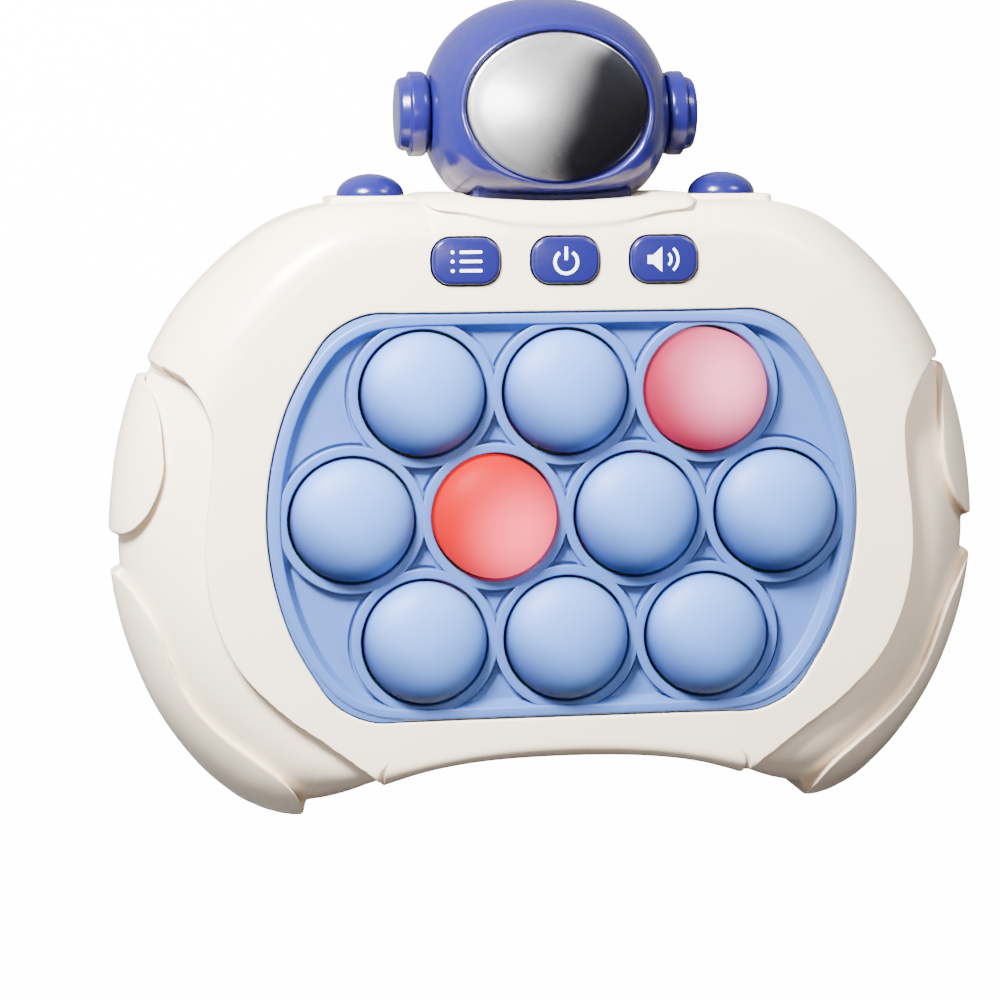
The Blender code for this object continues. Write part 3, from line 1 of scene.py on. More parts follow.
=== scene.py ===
# %% [markdown]
# # An electronic bubble pop game
# The real object is a handheld game: a glossy off-white body in two moulded halves, a light blue
# pad with ten domes that light up and press in, three small buttons, two shoulder buttons and a
# helmet with a mirror visor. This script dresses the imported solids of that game. The solids give
# every size and every joint, so the first thing to do is to load them and to keep their box.

# %% Load the fixed solids
import json
import math

import bmesh
import bpy
import numpy as np
from mathutils import Matrix, Vector

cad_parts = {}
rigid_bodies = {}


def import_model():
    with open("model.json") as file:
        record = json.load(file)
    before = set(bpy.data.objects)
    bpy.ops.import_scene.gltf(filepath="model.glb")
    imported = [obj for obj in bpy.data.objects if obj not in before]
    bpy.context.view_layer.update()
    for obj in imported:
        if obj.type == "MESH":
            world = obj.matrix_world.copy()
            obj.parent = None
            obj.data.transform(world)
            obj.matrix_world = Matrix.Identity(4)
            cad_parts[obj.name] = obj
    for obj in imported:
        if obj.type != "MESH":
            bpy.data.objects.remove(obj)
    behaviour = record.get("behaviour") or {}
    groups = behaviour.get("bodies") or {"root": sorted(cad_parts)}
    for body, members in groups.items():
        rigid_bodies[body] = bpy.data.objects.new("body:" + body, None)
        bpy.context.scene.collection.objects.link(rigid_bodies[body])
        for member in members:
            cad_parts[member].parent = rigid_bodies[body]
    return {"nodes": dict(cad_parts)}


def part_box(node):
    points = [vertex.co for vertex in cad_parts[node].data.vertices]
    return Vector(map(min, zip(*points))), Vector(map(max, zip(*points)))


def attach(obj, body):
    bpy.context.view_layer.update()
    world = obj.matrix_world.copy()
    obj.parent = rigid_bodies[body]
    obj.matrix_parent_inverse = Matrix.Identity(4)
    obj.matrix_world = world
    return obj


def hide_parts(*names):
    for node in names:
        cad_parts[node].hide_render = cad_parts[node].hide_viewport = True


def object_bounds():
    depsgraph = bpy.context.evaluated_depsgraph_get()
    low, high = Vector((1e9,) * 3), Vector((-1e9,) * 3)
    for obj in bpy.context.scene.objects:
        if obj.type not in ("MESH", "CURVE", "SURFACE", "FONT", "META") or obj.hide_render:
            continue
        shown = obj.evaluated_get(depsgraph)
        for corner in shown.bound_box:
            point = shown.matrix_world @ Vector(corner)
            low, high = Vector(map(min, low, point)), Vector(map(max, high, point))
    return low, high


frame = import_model()
cad_box = [list(corner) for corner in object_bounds()]


def in_mm(box):
    return [[round(value * 1000, 2) for value in corner] for corner in box]


print("solids:", len(frame["nodes"]), "box in mm:", in_mm(cad_box))

# %% [markdown]
# ## Sizes
# The sizes are the same as in the part's source, in metres, measured from the middle of the pad.
# Outlines are drawn as shares of a half width and a half height, so one table makes every loop.
# The pad's middle lies a little towards the foot, because the helmet stands out at the top. Cuts
# start and end at heights, or at a distance, that no piece reaches.

# %% Sizes of the body
PAD_CENTRE_Y = -0.019359
PITCH = 0.0266
ROW_SPACING = PITCH * math.sqrt(3) / 2
DOME_RADIUS = 0.01135
PAD_HALF_WIDTH = 3 * PITCH / 2 + DOME_RADIUS + 0.00415
PAD_HALF_HEIGHT = ROW_SPACING + DOME_RADIUS + 0.0032
HALF_WIDTH = PAD_HALF_WIDTH + 0.0275
BODY_TOP = PAD_HALF_HEIGHT + 0.0204
PARTING_Z = 0.0180
FACE_Z = 0.0400
WALL = 0.0022
GAP = 0.0003
UNDER, OVER, FAR = -0.001, 0.042, 0.1

BODY_SHARES = (
    (0.000, 1.000), (0.362, 1.000), (0.507, 0.993), (0.639, 0.929), (0.760, 0.797),
    (0.856, 0.645), (0.929, 0.448), (0.977, 0.224), (1.000, -0.052), (0.990, -0.276),
    (0.948, -0.491), (0.881, -0.690), (0.784, -0.862), (0.688, -0.955), (0.609, -0.979),
    (0.525, -0.952), (0.439, -0.890), (0.338, -0.833), (0.181, -0.807), (0.000, -0.800),
)
FACE_SHARES = (
    (0.000, 1.300), (0.720, 1.300), (1.150, 0.950), (1.110, 0.620), (0.975, 0.520),
    (0.871, 0.471), (0.812, 0.404), (0.790, 0.320), (0.784, 0.220), (0.792, 0.095),
    (0.804, -0.052), (0.803, -0.181), (0.781, -0.336), (0.731, -0.479), (0.645, -0.603),
    (0.549, -0.703), (0.470, -0.797), (0.398, -0.888), (0.300, -1.020), (0.120, -1.110),
    (0.000, -1.120),
)
UPPER_FIN_SHARES = (
    (0.922, 0.435), (0.899, 0.345), (0.892, 0.250), (0.891, 0.165), (0.906, 0.085),
    (0.933, 0.010), (0.968, -0.040), (1.015, -0.062), (1.090, -0.058), (1.100, 0.200),
    (1.040, 0.420), (0.960, 0.470),
)
LOWER_FIN_SHARES = (
    (1.030, -0.190), (0.985, -0.205), (0.945, -0.270), (0.912, -0.350), (0.889, -0.440),
    (0.858, -0.545), (0.812, -0.640), (0.750, -0.722), (0.688, -0.788), (0.625, -0.865),
    (0.590, -0.960), (0.580, -1.040), (0.680, -1.110), (0.860, -1.050), (1.040, -0.750),
    (1.100, -0.400),
)
COLLAR_SHARES = (
    (0.000, 0.922), (0.120, 0.932), (0.220, 0.962), (0.300, 0.985), (0.302, 1.080),
    (0.150, 1.120), (0.000, 1.120),
)
PAD_SHARES = (
    (0.000, 1.000), (0.350, 1.000), (0.620, 1.000), (0.717, 0.976), (0.787, 0.900),
    (0.863, 0.739), (0.930, 0.545), (0.982, 0.275), (1.000, 0.000),
)
print("body half width", round(HALF_WIDTH * 1000, 2), "mm, top", round(BODY_TOP * 1000, 2), "mm")

# %% [markdown]
# ## Curves and outlines
# A few points and a Catmull-Rom curve give each outline. Real mouldings are the same left and
# right, so only the right half is written down and the left half is its mirror image.

# %% Smooth outlines
def bent(before, start, end, after, step):
    """Points of a Catmull-Rom curve from start to end, at shares of the way."""
    line = 2 * start + (end - before) * step
    bend = (2 * before - 5 * start + 4 * end - after) * step ** 2
    twist = (3 * start - before - 3 * end + after) * step ** 3
    return (line + bend + twist) / 2


def summed(steps):
    """Nothing, and then the sum of the steps so far."""
    return np.concatenate([[0], np.cumsum(steps)])


def length_along(points):
    """How far along an open line each of its points lies."""
    return summed(np.linalg.norm(np.diff(points, axis=0), axis=1))


def round_steps(loop):
    """The distance from each point of a closed loop to the next one."""
    return np.linalg.norm(np.roll(loop, -1, axis=0) - loop, axis=1)


def round_gaps(here, marks, length):
    """How far each place on a closed loop lies from each mark, the shorter way round."""
    return np.abs((here[:, None] - np.array(marks) + length / 2) % length - length / 2)


def read_at(wanted, along, points):
    """The points of a line at the wanted places along it."""
    return np.column_stack([np.interp(wanted, along, axis) for axis in points.T])


def smooth_curve(points, count):
    """Even points along a closed Catmull-Rom curve through the given ones."""
    points = np.array(points, float)
    points = np.vstack([points[-1:], points, points[:2]])
    step = np.linspace(0, 1, 48, endpoint=False)[:, None]
    fine = [bent(*four, step) for four in zip(points, points[1:], points[2:], points[3:])]
    fine = np.vstack(fine + [points[-2:-1]])
    along = length_along(fine)
    return read_at(np.linspace(0, along[-1], count + 1)[:-1], along, fine)


def scaled(shares, width, height):
    return [(x * width, y * height) for x, y in shares]


def mirrored_outline(half, count):
    """A closed anticlockwise outline from the points of its right half."""
    left = [(-x, y) for x, y in half[-2:0:-1]]
    return smooth_curve(list(half) + left, count)[::-1]


def moved_in(loop, distance, steps=6):
    """An anticlockwise loop moved inwards, in small steps, with its corners kept round."""
    loop = np.array(loop, float)
    distance = np.broadcast_to(distance, len(loop))[:, None]
    for _ in range(steps):
        along = np.roll(loop, -1, axis=0) - np.roll(loop, 1, axis=0)
        along = along / np.linalg.norm(along, axis=1)[:, None]
        loop = loop + np.column_stack([-along[:, 1], along[:, 0]]) * distance / steps
        middle = (np.roll(loop, -1, axis=0) + np.roll(loop, 1, axis=0)) / 2
        loop = loop + np.where(distance > 0, 0.12, 0) * (middle - loop)
    return loop


def finer(loop, places):
    """A Catmull-Rom curve through a coarse closed loop, read at places counted in its points."""
    first = np.floor(places).astype(int)
    four = (loop[(first + k) % len(loop)] for k in (-1, 0, 1, 2))
    return bent(*four, (places - first)[:, None])


def eased(low, high, value):
    """0 at low, 1 at high and a smooth rise between."""
    share = np.clip((value - low) / (high - low), 0, 1)
    return share * share * (3 - 2 * share)


def depth_inside(points, polygon):
    """How far each point lies inside a closed polygon; outside it the depth is negative."""
    start, end = polygon, np.roll(polygon, -1, axis=0)
    span = end - start
    nearest = np.full(len(points), np.inf)
    inside = np.zeros(len(points), bool)
    for a, b, s in zip(start, end, span):
        offset = points - a
        share = np.clip(offset @ s / (s @ s), 0, 1)
        nearest = np.minimum(nearest, np.linalg.norm(offset - share[:, None] * s, axis=1))
        spans = (a[1] > points[:, 1]) != (b[1] > points[:, 1])
        rise = np.where(abs(s[1]) > 1e-12, s[1], 1e-12)
        inside ^= spans & (points[:, 0] < a[0] + (points[:, 1] - a[1]) * s[0] / rise)
    return np.where(inside, nearest, -nearest)


LOOP_COUNT, FACE_LOOP_COUNT, PAD_LOOP_COUNT = 56, 60, 44
body_outline = mirrored_outline(scaled(BODY_SHARES, HALF_WIDTH, BODY_TOP), LOOP_COUNT)
face_loop = mirrored_outline(scaled(FACE_SHARES, HALF_WIDTH, BODY_TOP), FACE_LOOP_COUNT)
face_outline = finer(face_loop, np.arange(0, FACE_LOOP_COUNT, 0.2))
pad_quarter = scaled(PAD_SHARES, PAD_HALF_WIDTH, PAD_HALF_HEIGHT)
pad_half = pad_quarter + [(x, -y) for x, y in pad_quarter[-2::-1]]
pad_outline = mirrored_outline(pad_half, PAD_LOOP_COUNT)
fin_outlines = [smooth_curve([(side * x, y) for x, y in scaled(shares, HALF_WIDTH, BODY_TOP)], 90)
                for shares in (UPPER_FIN_SHARES, LOWER_FIN_SHARES) for side in (1, -1)]
collar_outline = mirrored_outline(scaled(COLLAR_SHARES, HALF_WIDTH, BODY_TOP), 90)
print("outline points:", len(body_outline), len(face_outline), len(collar_outline))

# %% [markdown]
# ## Meshes from rings
# Nearly everything here is a stack of closed loops with as many points each: a skin of quads. A
# stack whose last loop meets the first again is a hollow ring, which suits a shell with an opening.
# Each piece is written in the place where it stands, so its object never has to be moved.

# %% Turning rings into a piece
place_pad = Vector((0, PAD_CENTRE_Y, 0))


def ring_mesh(name, rings, round_again=False):
    """A closed skin through the rings. Without a way round again, both ends are capped."""
    rings = np.array(rings, float)
    rows, count = rings.shape[:2]
    points = rings.reshape(-1, 3)
    here = np.arange(count)
    after = np.roll(here, -1)
    faces = []
    for row in range(rows if round_again else rows - 1):
        low, high = row * count, (row + 1) % rows * count
        faces += np.column_stack([low + here, low + after, high + after, high + here]).tolist()
    if not round_again:
        faces += [here[::-1].tolist(), ((rows - 1) * count + here).tolist()]
    mesh = bpy.data.meshes.new(name)
    mesh.from_pydata(points.tolist(), [], faces)
    return faced_outwards(mesh)


def faced_outwards(mesh):
    build = bmesh.new()
    build.from_mesh(mesh)
    bmesh.ops.recalc_face_normals(build, faces=build.faces[:])
    build.to_mesh(mesh)
    build.free()
    return mesh


def new_piece(name, mesh):
    piece = bpy.data.objects.new(name, mesh)
    bpy.context.scene.collection.objects.link(piece)
    return piece


def settled(piece):
    """Make the piece's modifiers part of its mesh."""
    bpy.context.view_layer.update()
    ready = piece.evaluated_get(bpy.context.evaluated_depsgraph_get())
    mesh = bpy.data.meshes.new_from_object(ready)
    piece.modifiers.clear()
    piece.data = mesh
    return piece


def is_closed(mesh):
    uses = np.zeros(len(mesh.edges), int)
    sides = np.zeros(len(mesh.loops), int)
    mesh.loops.foreach_get("edge_index", sides)
    np.add.at(uses, sides, 1)
    return len(uses) > 0 and bool((uses == 2).all())


def joined_meshes(name, meshes):
    build = bmesh.new()
    for mesh in meshes:
        build.from_mesh(mesh)
    whole = bpy.data.meshes.new(name)
    build.to_mesh(whole)
    build.free()
    return whole


def combined(piece, tools, operation):
    """Cut, join or cross the piece with one tool that holds all the given ones."""
    helper = new_piece("tools", joined_meshes("tools", tools))
    before = piece.data
    for solver in ("MANIFOLD", "EXACT"):
        step = piece.modifiers.new("boolean", "BOOLEAN")
        step.operation = operation
        step.solver = solver
        step.object = helper
        settled(piece)
        print(piece.name, operation.lower(), solver, "faces:", len(piece.data.polygons),
              "closed:", is_closed(piece.data))
        if is_closed(piece.data):
            break
        piece.data = before
    bpy.data.objects.remove(helper)
    return piece


def dressed(piece, material, body, replaces=(), sharp=35):
    """Shade the piece, move it from the pad's middle to its place and tie it to its body."""
    piece.data.transform(Matrix.Translation(place_pad))
    piece.data.materials.clear()
    piece.data.materials.append(material)
    piece.data.shade_smooth()
    piece.data.set_sharp_from_angle(angle=math.radians(sharp))
    if replaces:
        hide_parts(*replaces)
    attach(piece, body)
    print(piece.name, "faces:", len(piece.data.polygons))
    return piece


def at_height(loop, height):
    return np.column_stack([loop, np.broadcast_to(height, len(loop))])


def circle(radius, count, centre=(0, 0)):
    angle = np.linspace(0, 2 * math.pi, count, endpoint=False)
    return np.column_stack([centre[0] + radius * np.cos(angle), centre[1] + radius * np.sin(angle)])


def rounded_rectangle(half_width, half_height, corner, steps=8):
    points = []
    for turn, (x, y) in enumerate(((1, 1), (-1, 1), (-1, -1), (1, -1))):
        for step in range(steps + 1):
            angle = math.radians(90) * (turn + step / steps)
            points.append((x * (half_width - corner) + corner * math.cos(angle),
                           y * (half_height - corner) + corner * math.sin(angle)))
    return np.array(points)


def quarter(count):
    """Angles from nothing to a quarter turn."""
    return np.linspace(0, math.pi / 2, count)


def column_mesh(name, loop, low, high):
    """A straight column on a loop, for cutting and crossing."""
    return ring_mesh(name, [at_height(loop, low), at_height(loop, high)])


def round_columns(radius, count, places, low, high):
    """Straight round columns at several places, for holes and posts."""
    return [column_mesh("round", circle(radius, count, place), low, high) for place in places]


def mesh_of(piece):
    """Take the mesh out of a helping piece, which goes."""
    mesh = piece.data
    bpy.data.objects.remove(piece)
    return mesh


def half_mesh(mesh, low, high):
    """The part of a closed mesh that lies between two heights."""
    piece = new_piece("half", mesh)
    block = np.array([(-FAR, -FAR), (FAR, -FAR), (FAR, FAR), (-FAR, FAR)])
    return mesh_of(combined(piece, [column_mesh("block", block, low, high)], "INTERSECT"))


def turned_to(mesh, angle, axis, move=(0, 0, 0)):
    mesh.transform(Matrix.Translation(move) @ Matrix.Rotation(math.radians(angle), 4, axis))
    return mesh


def turned_mesh(name, profile, count=96, closed=False):
    """A skin turned about Z from (radius, height) points, top to foot."""
    angle = np.linspace(0, 2 * math.pi, count, endpoint=False)
    build = bmesh.new()
    rings = []
    for radius, height in profile:
        if radius < 1e-9:
            rings.append([build.verts.new((0, 0, height))])
        else:
            rings.append([build.verts.new((radius * math.cos(a), radius * math.sin(a), height))
                          for a in angle])
    pairs = list(zip(rings, rings[1:]))
    if closed:
        pairs.append((rings[-1], rings[0]))
    for upper, lower in pairs:
        for here in range(count):
            after = (here + 1) % count
            corners = [upper[here % len(upper)], lower[here % len(lower)],
                       lower[after % len(lower)], upper[after % len(upper)]]
            corners = list(dict.fromkeys(corners))
            if len(corners) > 2:
                build.faces.new(corners)
    mesh = bpy.data.meshes.new(name)
    build.to_mesh(mesh)
    build.free()
    return faced_outwards(mesh)


# %% [markdown]
# ## Finishes
# All the mouldings share one effect: colour that drifts very slightly, and a skin that is not quite
# flat, so that highlights bend a little. That effect is a node group, built once and given other
# values in each material. It hands out a colour, a roughness and a normal, and the shader itself
# stays in the material.

# %% The shared moulded skin
class Wiring:
    """Adds nodes to a tree. Each input is given as a value or as the socket that feeds it."""

    def __init__(self, tree):
        self.tree = tree

    def feed(self, node, inputs):
        """Give a node its inputs."""
        for label, value in inputs.items():
            if isinstance(value, bpy.types.NodeSocket):
                self.tree.links.new(value, node.inputs[label])
            else:
                node.inputs[label].default_value = value

    def add(self, kind, inputs=None, **settings):
        """A new node with its settings and inputs."""
        node = self.tree.nodes.new(kind)
        for label, value in settings.items():
            setattr(node, label, value)
        self.feed(node, inputs or {})
        return node

    def maths(self, operation, *values, clamp=False):
        """One operation on numbers."""
        return self.add("ShaderNodeMath", dict(enumerate(values)), operation=operation,
                        use_clamp=clamp).outputs[0]

    def ranged(self, value, ends, kind="LINEAR"):
        """A value moved from one range to another."""
        return self.add("ShaderNodeMapRange", {"Value": value, **ends},
                        interpolation_type=kind).outputs["Result"]

    def mixed(self, factor, first, second):
        """A colour between two, by a factor."""
        return self.add("ShaderNodeMix", {"Factor": factor, "A": first, "B": second},
                        data_type="RGBA").outputs["Result"]

    def vectors(self, operation, first, second, output="Vector"):
        """One operation on two vectors."""
        return self.add("ShaderNodeVectorMath", {0: first, 1: second},
                        operation=operation).outputs[output]

    def own_place(self):
        """The piece's own coordinates."""
        return self.add("ShaderNodeTexCoord").outputs["Object"]


def new_tree(kind, name, inputs, outputs):
    """A node tree whose inputs and outputs are given as label, type and perhaps a value."""
    tree = bpy.data.node_groups.new(name, kind)
    for way, sockets in (("INPUT", inputs), ("OUTPUT", outputs)):
        for label, socket_type, *value in sockets:
            socket = tree.interface.new_socket(label, in_out=way,
                                               socket_type=f"NodeSocket{socket_type}")
            if value:
                socket.default_value = value[0]
    wires = Wiring(tree)
    return wires, wires.add("NodeGroupInput").outputs, wires.add("NodeGroupOutput")


def make_moulded_skin():
    """Colour drift, uneven gloss and a fine skin, all from the piece's own coordinates."""
    wires, given, result = new_tree(
        "ShaderNodeTree", "moulded_skin",
        (("Colour", "Color"), ("Drift colour", "Color"), ("Drift scale", "Float"),
         ("Skin scale", "Float"), ("Skin depth", "Float"), ("Low roughness", "Float"),
         ("High roughness", "Float")),
        (("Colour", "Color"), ("Roughness", "Float"), ("Normal", "Vector")))
    where = wires.own_place()
    drift = wires.add("ShaderNodeTexNoise", {"Vector": where, "Scale": given["Drift scale"],
                                             "Detail": 3}).outputs["Fac"]
    skin = wires.add("ShaderNodeTexNoise", {"Vector": where, "Scale": given["Skin scale"],
                                            "Detail": 4}).outputs["Fac"]
    bump = wires.add("ShaderNodeBump", {"Height": skin, "Strength": given["Skin depth"],
                                        "Distance": 0.0004})
    wires.feed(result, {
        "Colour": wires.mixed(drift, given["Colour"], given["Drift colour"]),
        "Roughness": wires.ranged(drift, {"To Min": given["Low roughness"],
                                          "To Max": given["High roughness"]}),
        "Normal": bump.outputs["Normal"]})
    return wires.tree


moulded_skin = make_moulded_skin()


def opened(material):
    """The wiring of a material and its shader."""
    material.use_nodes = True
    return Wiring(material.node_tree), material.node_tree.nodes["Principled BSDF"]


def moulded(name, colour, drift_colour, roughness=(0.22, 0.3), drift_scale=18.0, skin_scale=900.0,
            skin_depth=0.05, coat=0.0, subsurface=0.0, shine=0.5):
    """A moulded plastic with the shared skin and its own colours and gloss."""
    material = bpy.data.materials.new(name)
    wires, shader = opened(material)
    skin = wires.add("ShaderNodeGroup", {
        "Colour": (*colour, 1), "Drift colour": (*drift_colour, 1), "Drift scale": drift_scale,
        "Skin scale": skin_scale, "Skin depth": skin_depth, "Low roughness": roughness[0],
        "High roughness": roughness[1]}, node_tree=moulded_skin).outputs
    wires.feed(shader, {
        "Base Color": skin["Colour"], "Roughness": skin["Roughness"], "Normal": skin["Normal"],
        "Coat Weight": coat, "Coat Roughness": 0.08, "Specular IOR Level": shine,
        "Subsurface Weight": subsurface, "Subsurface Radius": (0.004, 0.003, 0.0025),
        "Subsurface Scale": 0.6})
    return material


shell_white = moulded("shell_white", (0.86, 0.73, 0.56), (0.83, 0.69, 0.52), (0.29, 0.35),
                      coat=0.15)
royal_blue = moulded("royal_blue", (0.0095, 0.0088, 0.090), (0.0085, 0.0078, 0.078), (0.18, 0.24),
                     shine=0.35)
pad_blue = moulded("pad_blue", (0.058, 0.125, 0.38), (0.053, 0.115, 0.355), (0.40, 0.48),
                   skin_depth=0.08)


def silicone(name, colour, drift_colour, rim_colour):
    """Soft silicone with painted shade, darker at its lower left and at its slanted rim."""
    material = moulded(name, colour, drift_colour, (0.48, 0.56), skin_depth=0.06, subsurface=0.1,
                       shine=0.35)
    wires, shader = opened(material)
    # Painted shade: towards the slanted rim and towards the lower left the colour turns to the dark
    # rim colour.
    painted_rim_shade = wires.add("ShaderNodeLayerWeight", {"Blend": 0.20}).outputs["Facing"]
    lower = wires.add("ShaderNodeAttribute", attribute_name="painted_shade_lower_left").outputs["Fac"]
    painted_lower_left_shade = wires.ranged(lower, {"From Min": 0.05, "To Max": 0.75}, "SMOOTHSTEP")
    skin_colour = shader.inputs["Base Color"].links[0].from_socket
    wires.feed(shader, {"Base Color": wires.mixed(wires.maths("ADD", painted_rim_shade, painted_lower_left_shade, clamp=True),
                                                  skin_colour, (*rim_colour, 1))})
    return material


# The last colour is the painted shade that darkens the domes' rims and lower left.
dome_blue = silicone("dome_blue", (0.092, 0.205, 0.57), (0.085, 0.19, 0.54), (0.013, 0.027, 0.125))
sign_white = moulded("sign_white", (0.88, 0.89, 0.92), (0.82, 0.84, 0.88), (0.35, 0.45),
                     skin_depth=0.1)
print("moulded finishes:", [material.name for material in bpy.data.materials
                            if material.name.endswith(("white", "blue"))])

# %% [markdown]
# ## The body's skin
# The body is a stack of surfaces: a sunken band, a raised face inside the crease, four fins and a
# collar. Each surface is a wall that rounds over to a flat. A path climbs each of them at every
# column round the outline, and the skin takes the highest surface that is allowed there. The path
# is then softened along its length, which turns every hard step into the small radius of a mould.

# %% Paths over the rounded surfaces
WALL_SAMPLES, RIM_SAMPLES, FLAT_SAMPLES = 8, 56, 60
RIM_WIDTH_FOOT, RIM_WIDTH_TOP = 0.0036, 0.0065
NARROW_COLUMN, WIDE_COLUMN = 0.00024, 0.00095


def body_paths(places, target, parting_z, foot_z, outset, face_z, widths, heights, thinner=0.0):
    """For each column the path over one surface: up the wall, round the rim, flat to the target."""
    loop = moved_in(body_outline, -outset)
    side = eased(0.42 * HALF_WIDTH, 0.85 * HALF_WIDTH, np.abs(loop[:, 0]))
    upper = eased(-BODY_TOP / 2, BODY_TOP / 2, loop[:, 1])
    middle_width = RIM_WIDTH_FOOT + (RIM_WIDTH_TOP - RIM_WIDTH_FOOT) * upper
    width = middle_width + (widths - middle_width) * side
    width = np.maximum(width - 2 * thinner, WALL / 2)
    height = heights[1] + (heights[0] - heights[1]) * side - thinner
    height = np.minimum(height, abs(face_z - foot_z) * 0.97)
    return climb(loop, width, places, finer(height[:, None], places)[:, 0], target, parting_z,
                 foot_z, face_z)


def climb(loop, width, places, height, target, parting_z, foot_z, face_z):
    """Samples of the path at each place: up the wall, round the rim and flat to the target."""
    way = math.copysign(1, face_z - foot_z)
    rings, reached = [loop], [0.0]
    for turn in quarter(5)[1:]:
        share = 1 - math.cos(turn)
        loop = moved_in(loop, width * (share - reached[-1]))
        rings.append(loop)
        reached.append(share)
    rings = np.array([finer(ring, places) for ring in rings])
    start_z = face_z - way * height
    paths = []
    for share in np.linspace(0, 1, WALL_SAMPLES, endpoint=False):
        paths.append(np.column_stack([rings[0], foot_z + (start_z - foot_z) * share]))
    for angle in np.linspace(0, math.pi / 2, RIM_SAMPLES, endpoint=False):
        at = np.interp(1 - math.cos(angle), reached, np.arange(len(reached)))
        low = min(int(at), len(reached) - 2)
        plan = rings[low] + (rings[low + 1] - rings[low]) * (at - low)
        paths.append(np.column_stack([plan, face_z - way * height * (1 - math.sin(angle))]))
    for share in np.linspace(0, 1, FLAT_SAMPLES):
        plan = rings[-1] + (target - rings[-1]) * share
        paths.append(np.column_stack([plan, np.full(len(plan), face_z)]))
    paths = np.swapaxes(np.array(paths), 0, 1)
    for path in paths:
        above = way * (path[:, 2] - parting_z)
        first = int(np.argmax(above >= 0))
        if first:
            share = above[first - 1] / (above[first - 1] - above[first])
            path[:first] = path[first - 1] + (path[first] - path[first - 1]) * share
    return paths


def depth_along(paths, outlines):
    """How deep each sample lies inside the deepest of the outlines, negative outside them."""
    points = paths[:, :, :2].reshape(-1, 2)
    depths = [depth_inside(points, outline) for outline in outlines]
    return np.max(depths, axis=0).reshape(paths.shape[:2])


def crossing(path, depth, index):
    """The point between two samples where the depth passes through nothing."""
    share = depth[index] / (depth[index] - depth[index + 1])
    return path[index] + (path[index + 1] - path[index]) * np.clip(share, 0, 1)


def left_of(path, depth):
    """The samples up to the first place outside, and that place, for a path that starts inside."""
    outside = np.nonzero(depth < 0)[0]
    if depth[0] <= 0 or not len(outside):
        return path[:0]
    last = outside[0] - 1
    return np.vstack([path[:last + 1], crossing(path, depth, last)])


def carried_on(path, point):
    """The path from the place in plan nearest to a point, and the index of that place."""
    away = np.linalg.norm(path[:, :2] - point[:2], axis=1) + 0.2 * np.abs(path[:, 2] - point[2])
    index = int(np.argmin(away))
    return np.vstack([[*point[:2], path[index, 2]], path[index + 1:]]), index


def choose_columns():
    """Places round the outline, closer together where a fin, the crease or the collar ends."""
    places = np.arange(0, LOOP_COUNT, 0.025)
    ring = finer(body_outline, places)
    step = round_steps(ring)
    along = summed(step)
    length = along[-1]
    marks = []
    for outlines in (fin_outlines, [face_outline], [collar_outline]):
        inside = np.max([depth_inside(ring, outline) for outline in outlines], axis=0) > 0
        marks += list(along[:-1][inside != np.roll(inside, 1)])
    gap = np.min(round_gaps(along[:-1], marks, length), axis=1)
    spacing = NARROW_COLUMN + (WIDE_COLUMN - NARROW_COLUMN) * eased(0.0015, 0.0070, gap)
    count = summed(step / spacing)
    wanted = np.linspace(0, count[-1], int(count[-1]), endpoint=False)
    return np.interp(wanted, count, np.append(places, LOOP_COUNT))


columns = choose_columns()
column_ring = finer(body_outline, columns)
column_steps = round_steps(column_ring)
collar_columns = (np.abs(column_ring[:, 0]) < 0.030) & (column_ring[:, 1] > 0)
print("columns round the body:", len(columns))

# %% [markdown]
# The rows of the skin follow the steps in each path: a few rows close together over a step, wider
# ones between. In that way edges stay crisp although the whole skin has a modest number of faces.
# The collar has a wider radius than the rest, because it swells out of the face.

# %% From paths to a skin
STEP_LENGTH = 0.0001
EDGE_SOFTNESS, COLLAR_SOFTNESS = 0.00034, 0.0009
ROW_MARGIN = 0.0008


def softened(path, amount=EDGE_SOFTNESS):
    """The path at even small steps, smoothed along its length with its two ends kept."""
    length = length_along(path)
    count = max(int(length[-1] / STEP_LENGTH), 8)
    even = np.linspace(0, length[-1], count)
    points = read_at(even, length, path)
    reach = max(int(3 * amount / STEP_LENGTH), 4)
    weight = np.exp(-0.5 * (np.arange(-reach, reach + 1) * STEP_LENGTH / amount) ** 2)
    weight /= weight.sum()
    at = np.minimum(np.arange(1, reach + 1), count - 1)
    before = 2 * points[0] - points[at[::-1]]
    after = 2 * points[-1] - points[count - 1 - at]
    longer = np.vstack([before, points, after])
    return even, np.column_stack([np.convolve(axis, weight, "valid") for axis in longer.T])


def filled_gaps(values, present, along, most):
    """Where a step is absent, a place for its rows that carries on from the nearest such step."""
    slope = 0.7
    length = along[-1]
    here = along[:-1]
    marks = here[present]
    if not len(marks):
        return np.full(len(values), most)
    ways = round_gaps(here, marks, length)
    away = np.min(ways, axis=1)
    nearest = values[present][np.argmin(ways, axis=1)]
    filled = np.maximum(np.minimum(away * slope, most), nearest - 2 * slope * away)
    return np.where(present, values, filled)


def spread(stops, counts):
    """Places between stops, with a number of places for each stretch."""
    return np.concatenate([np.linspace(a, b, n, endpoint=n == counts[-1] and b == stops[-1])
                           for a, b, n in zip(stops, stops[1:], counts)])


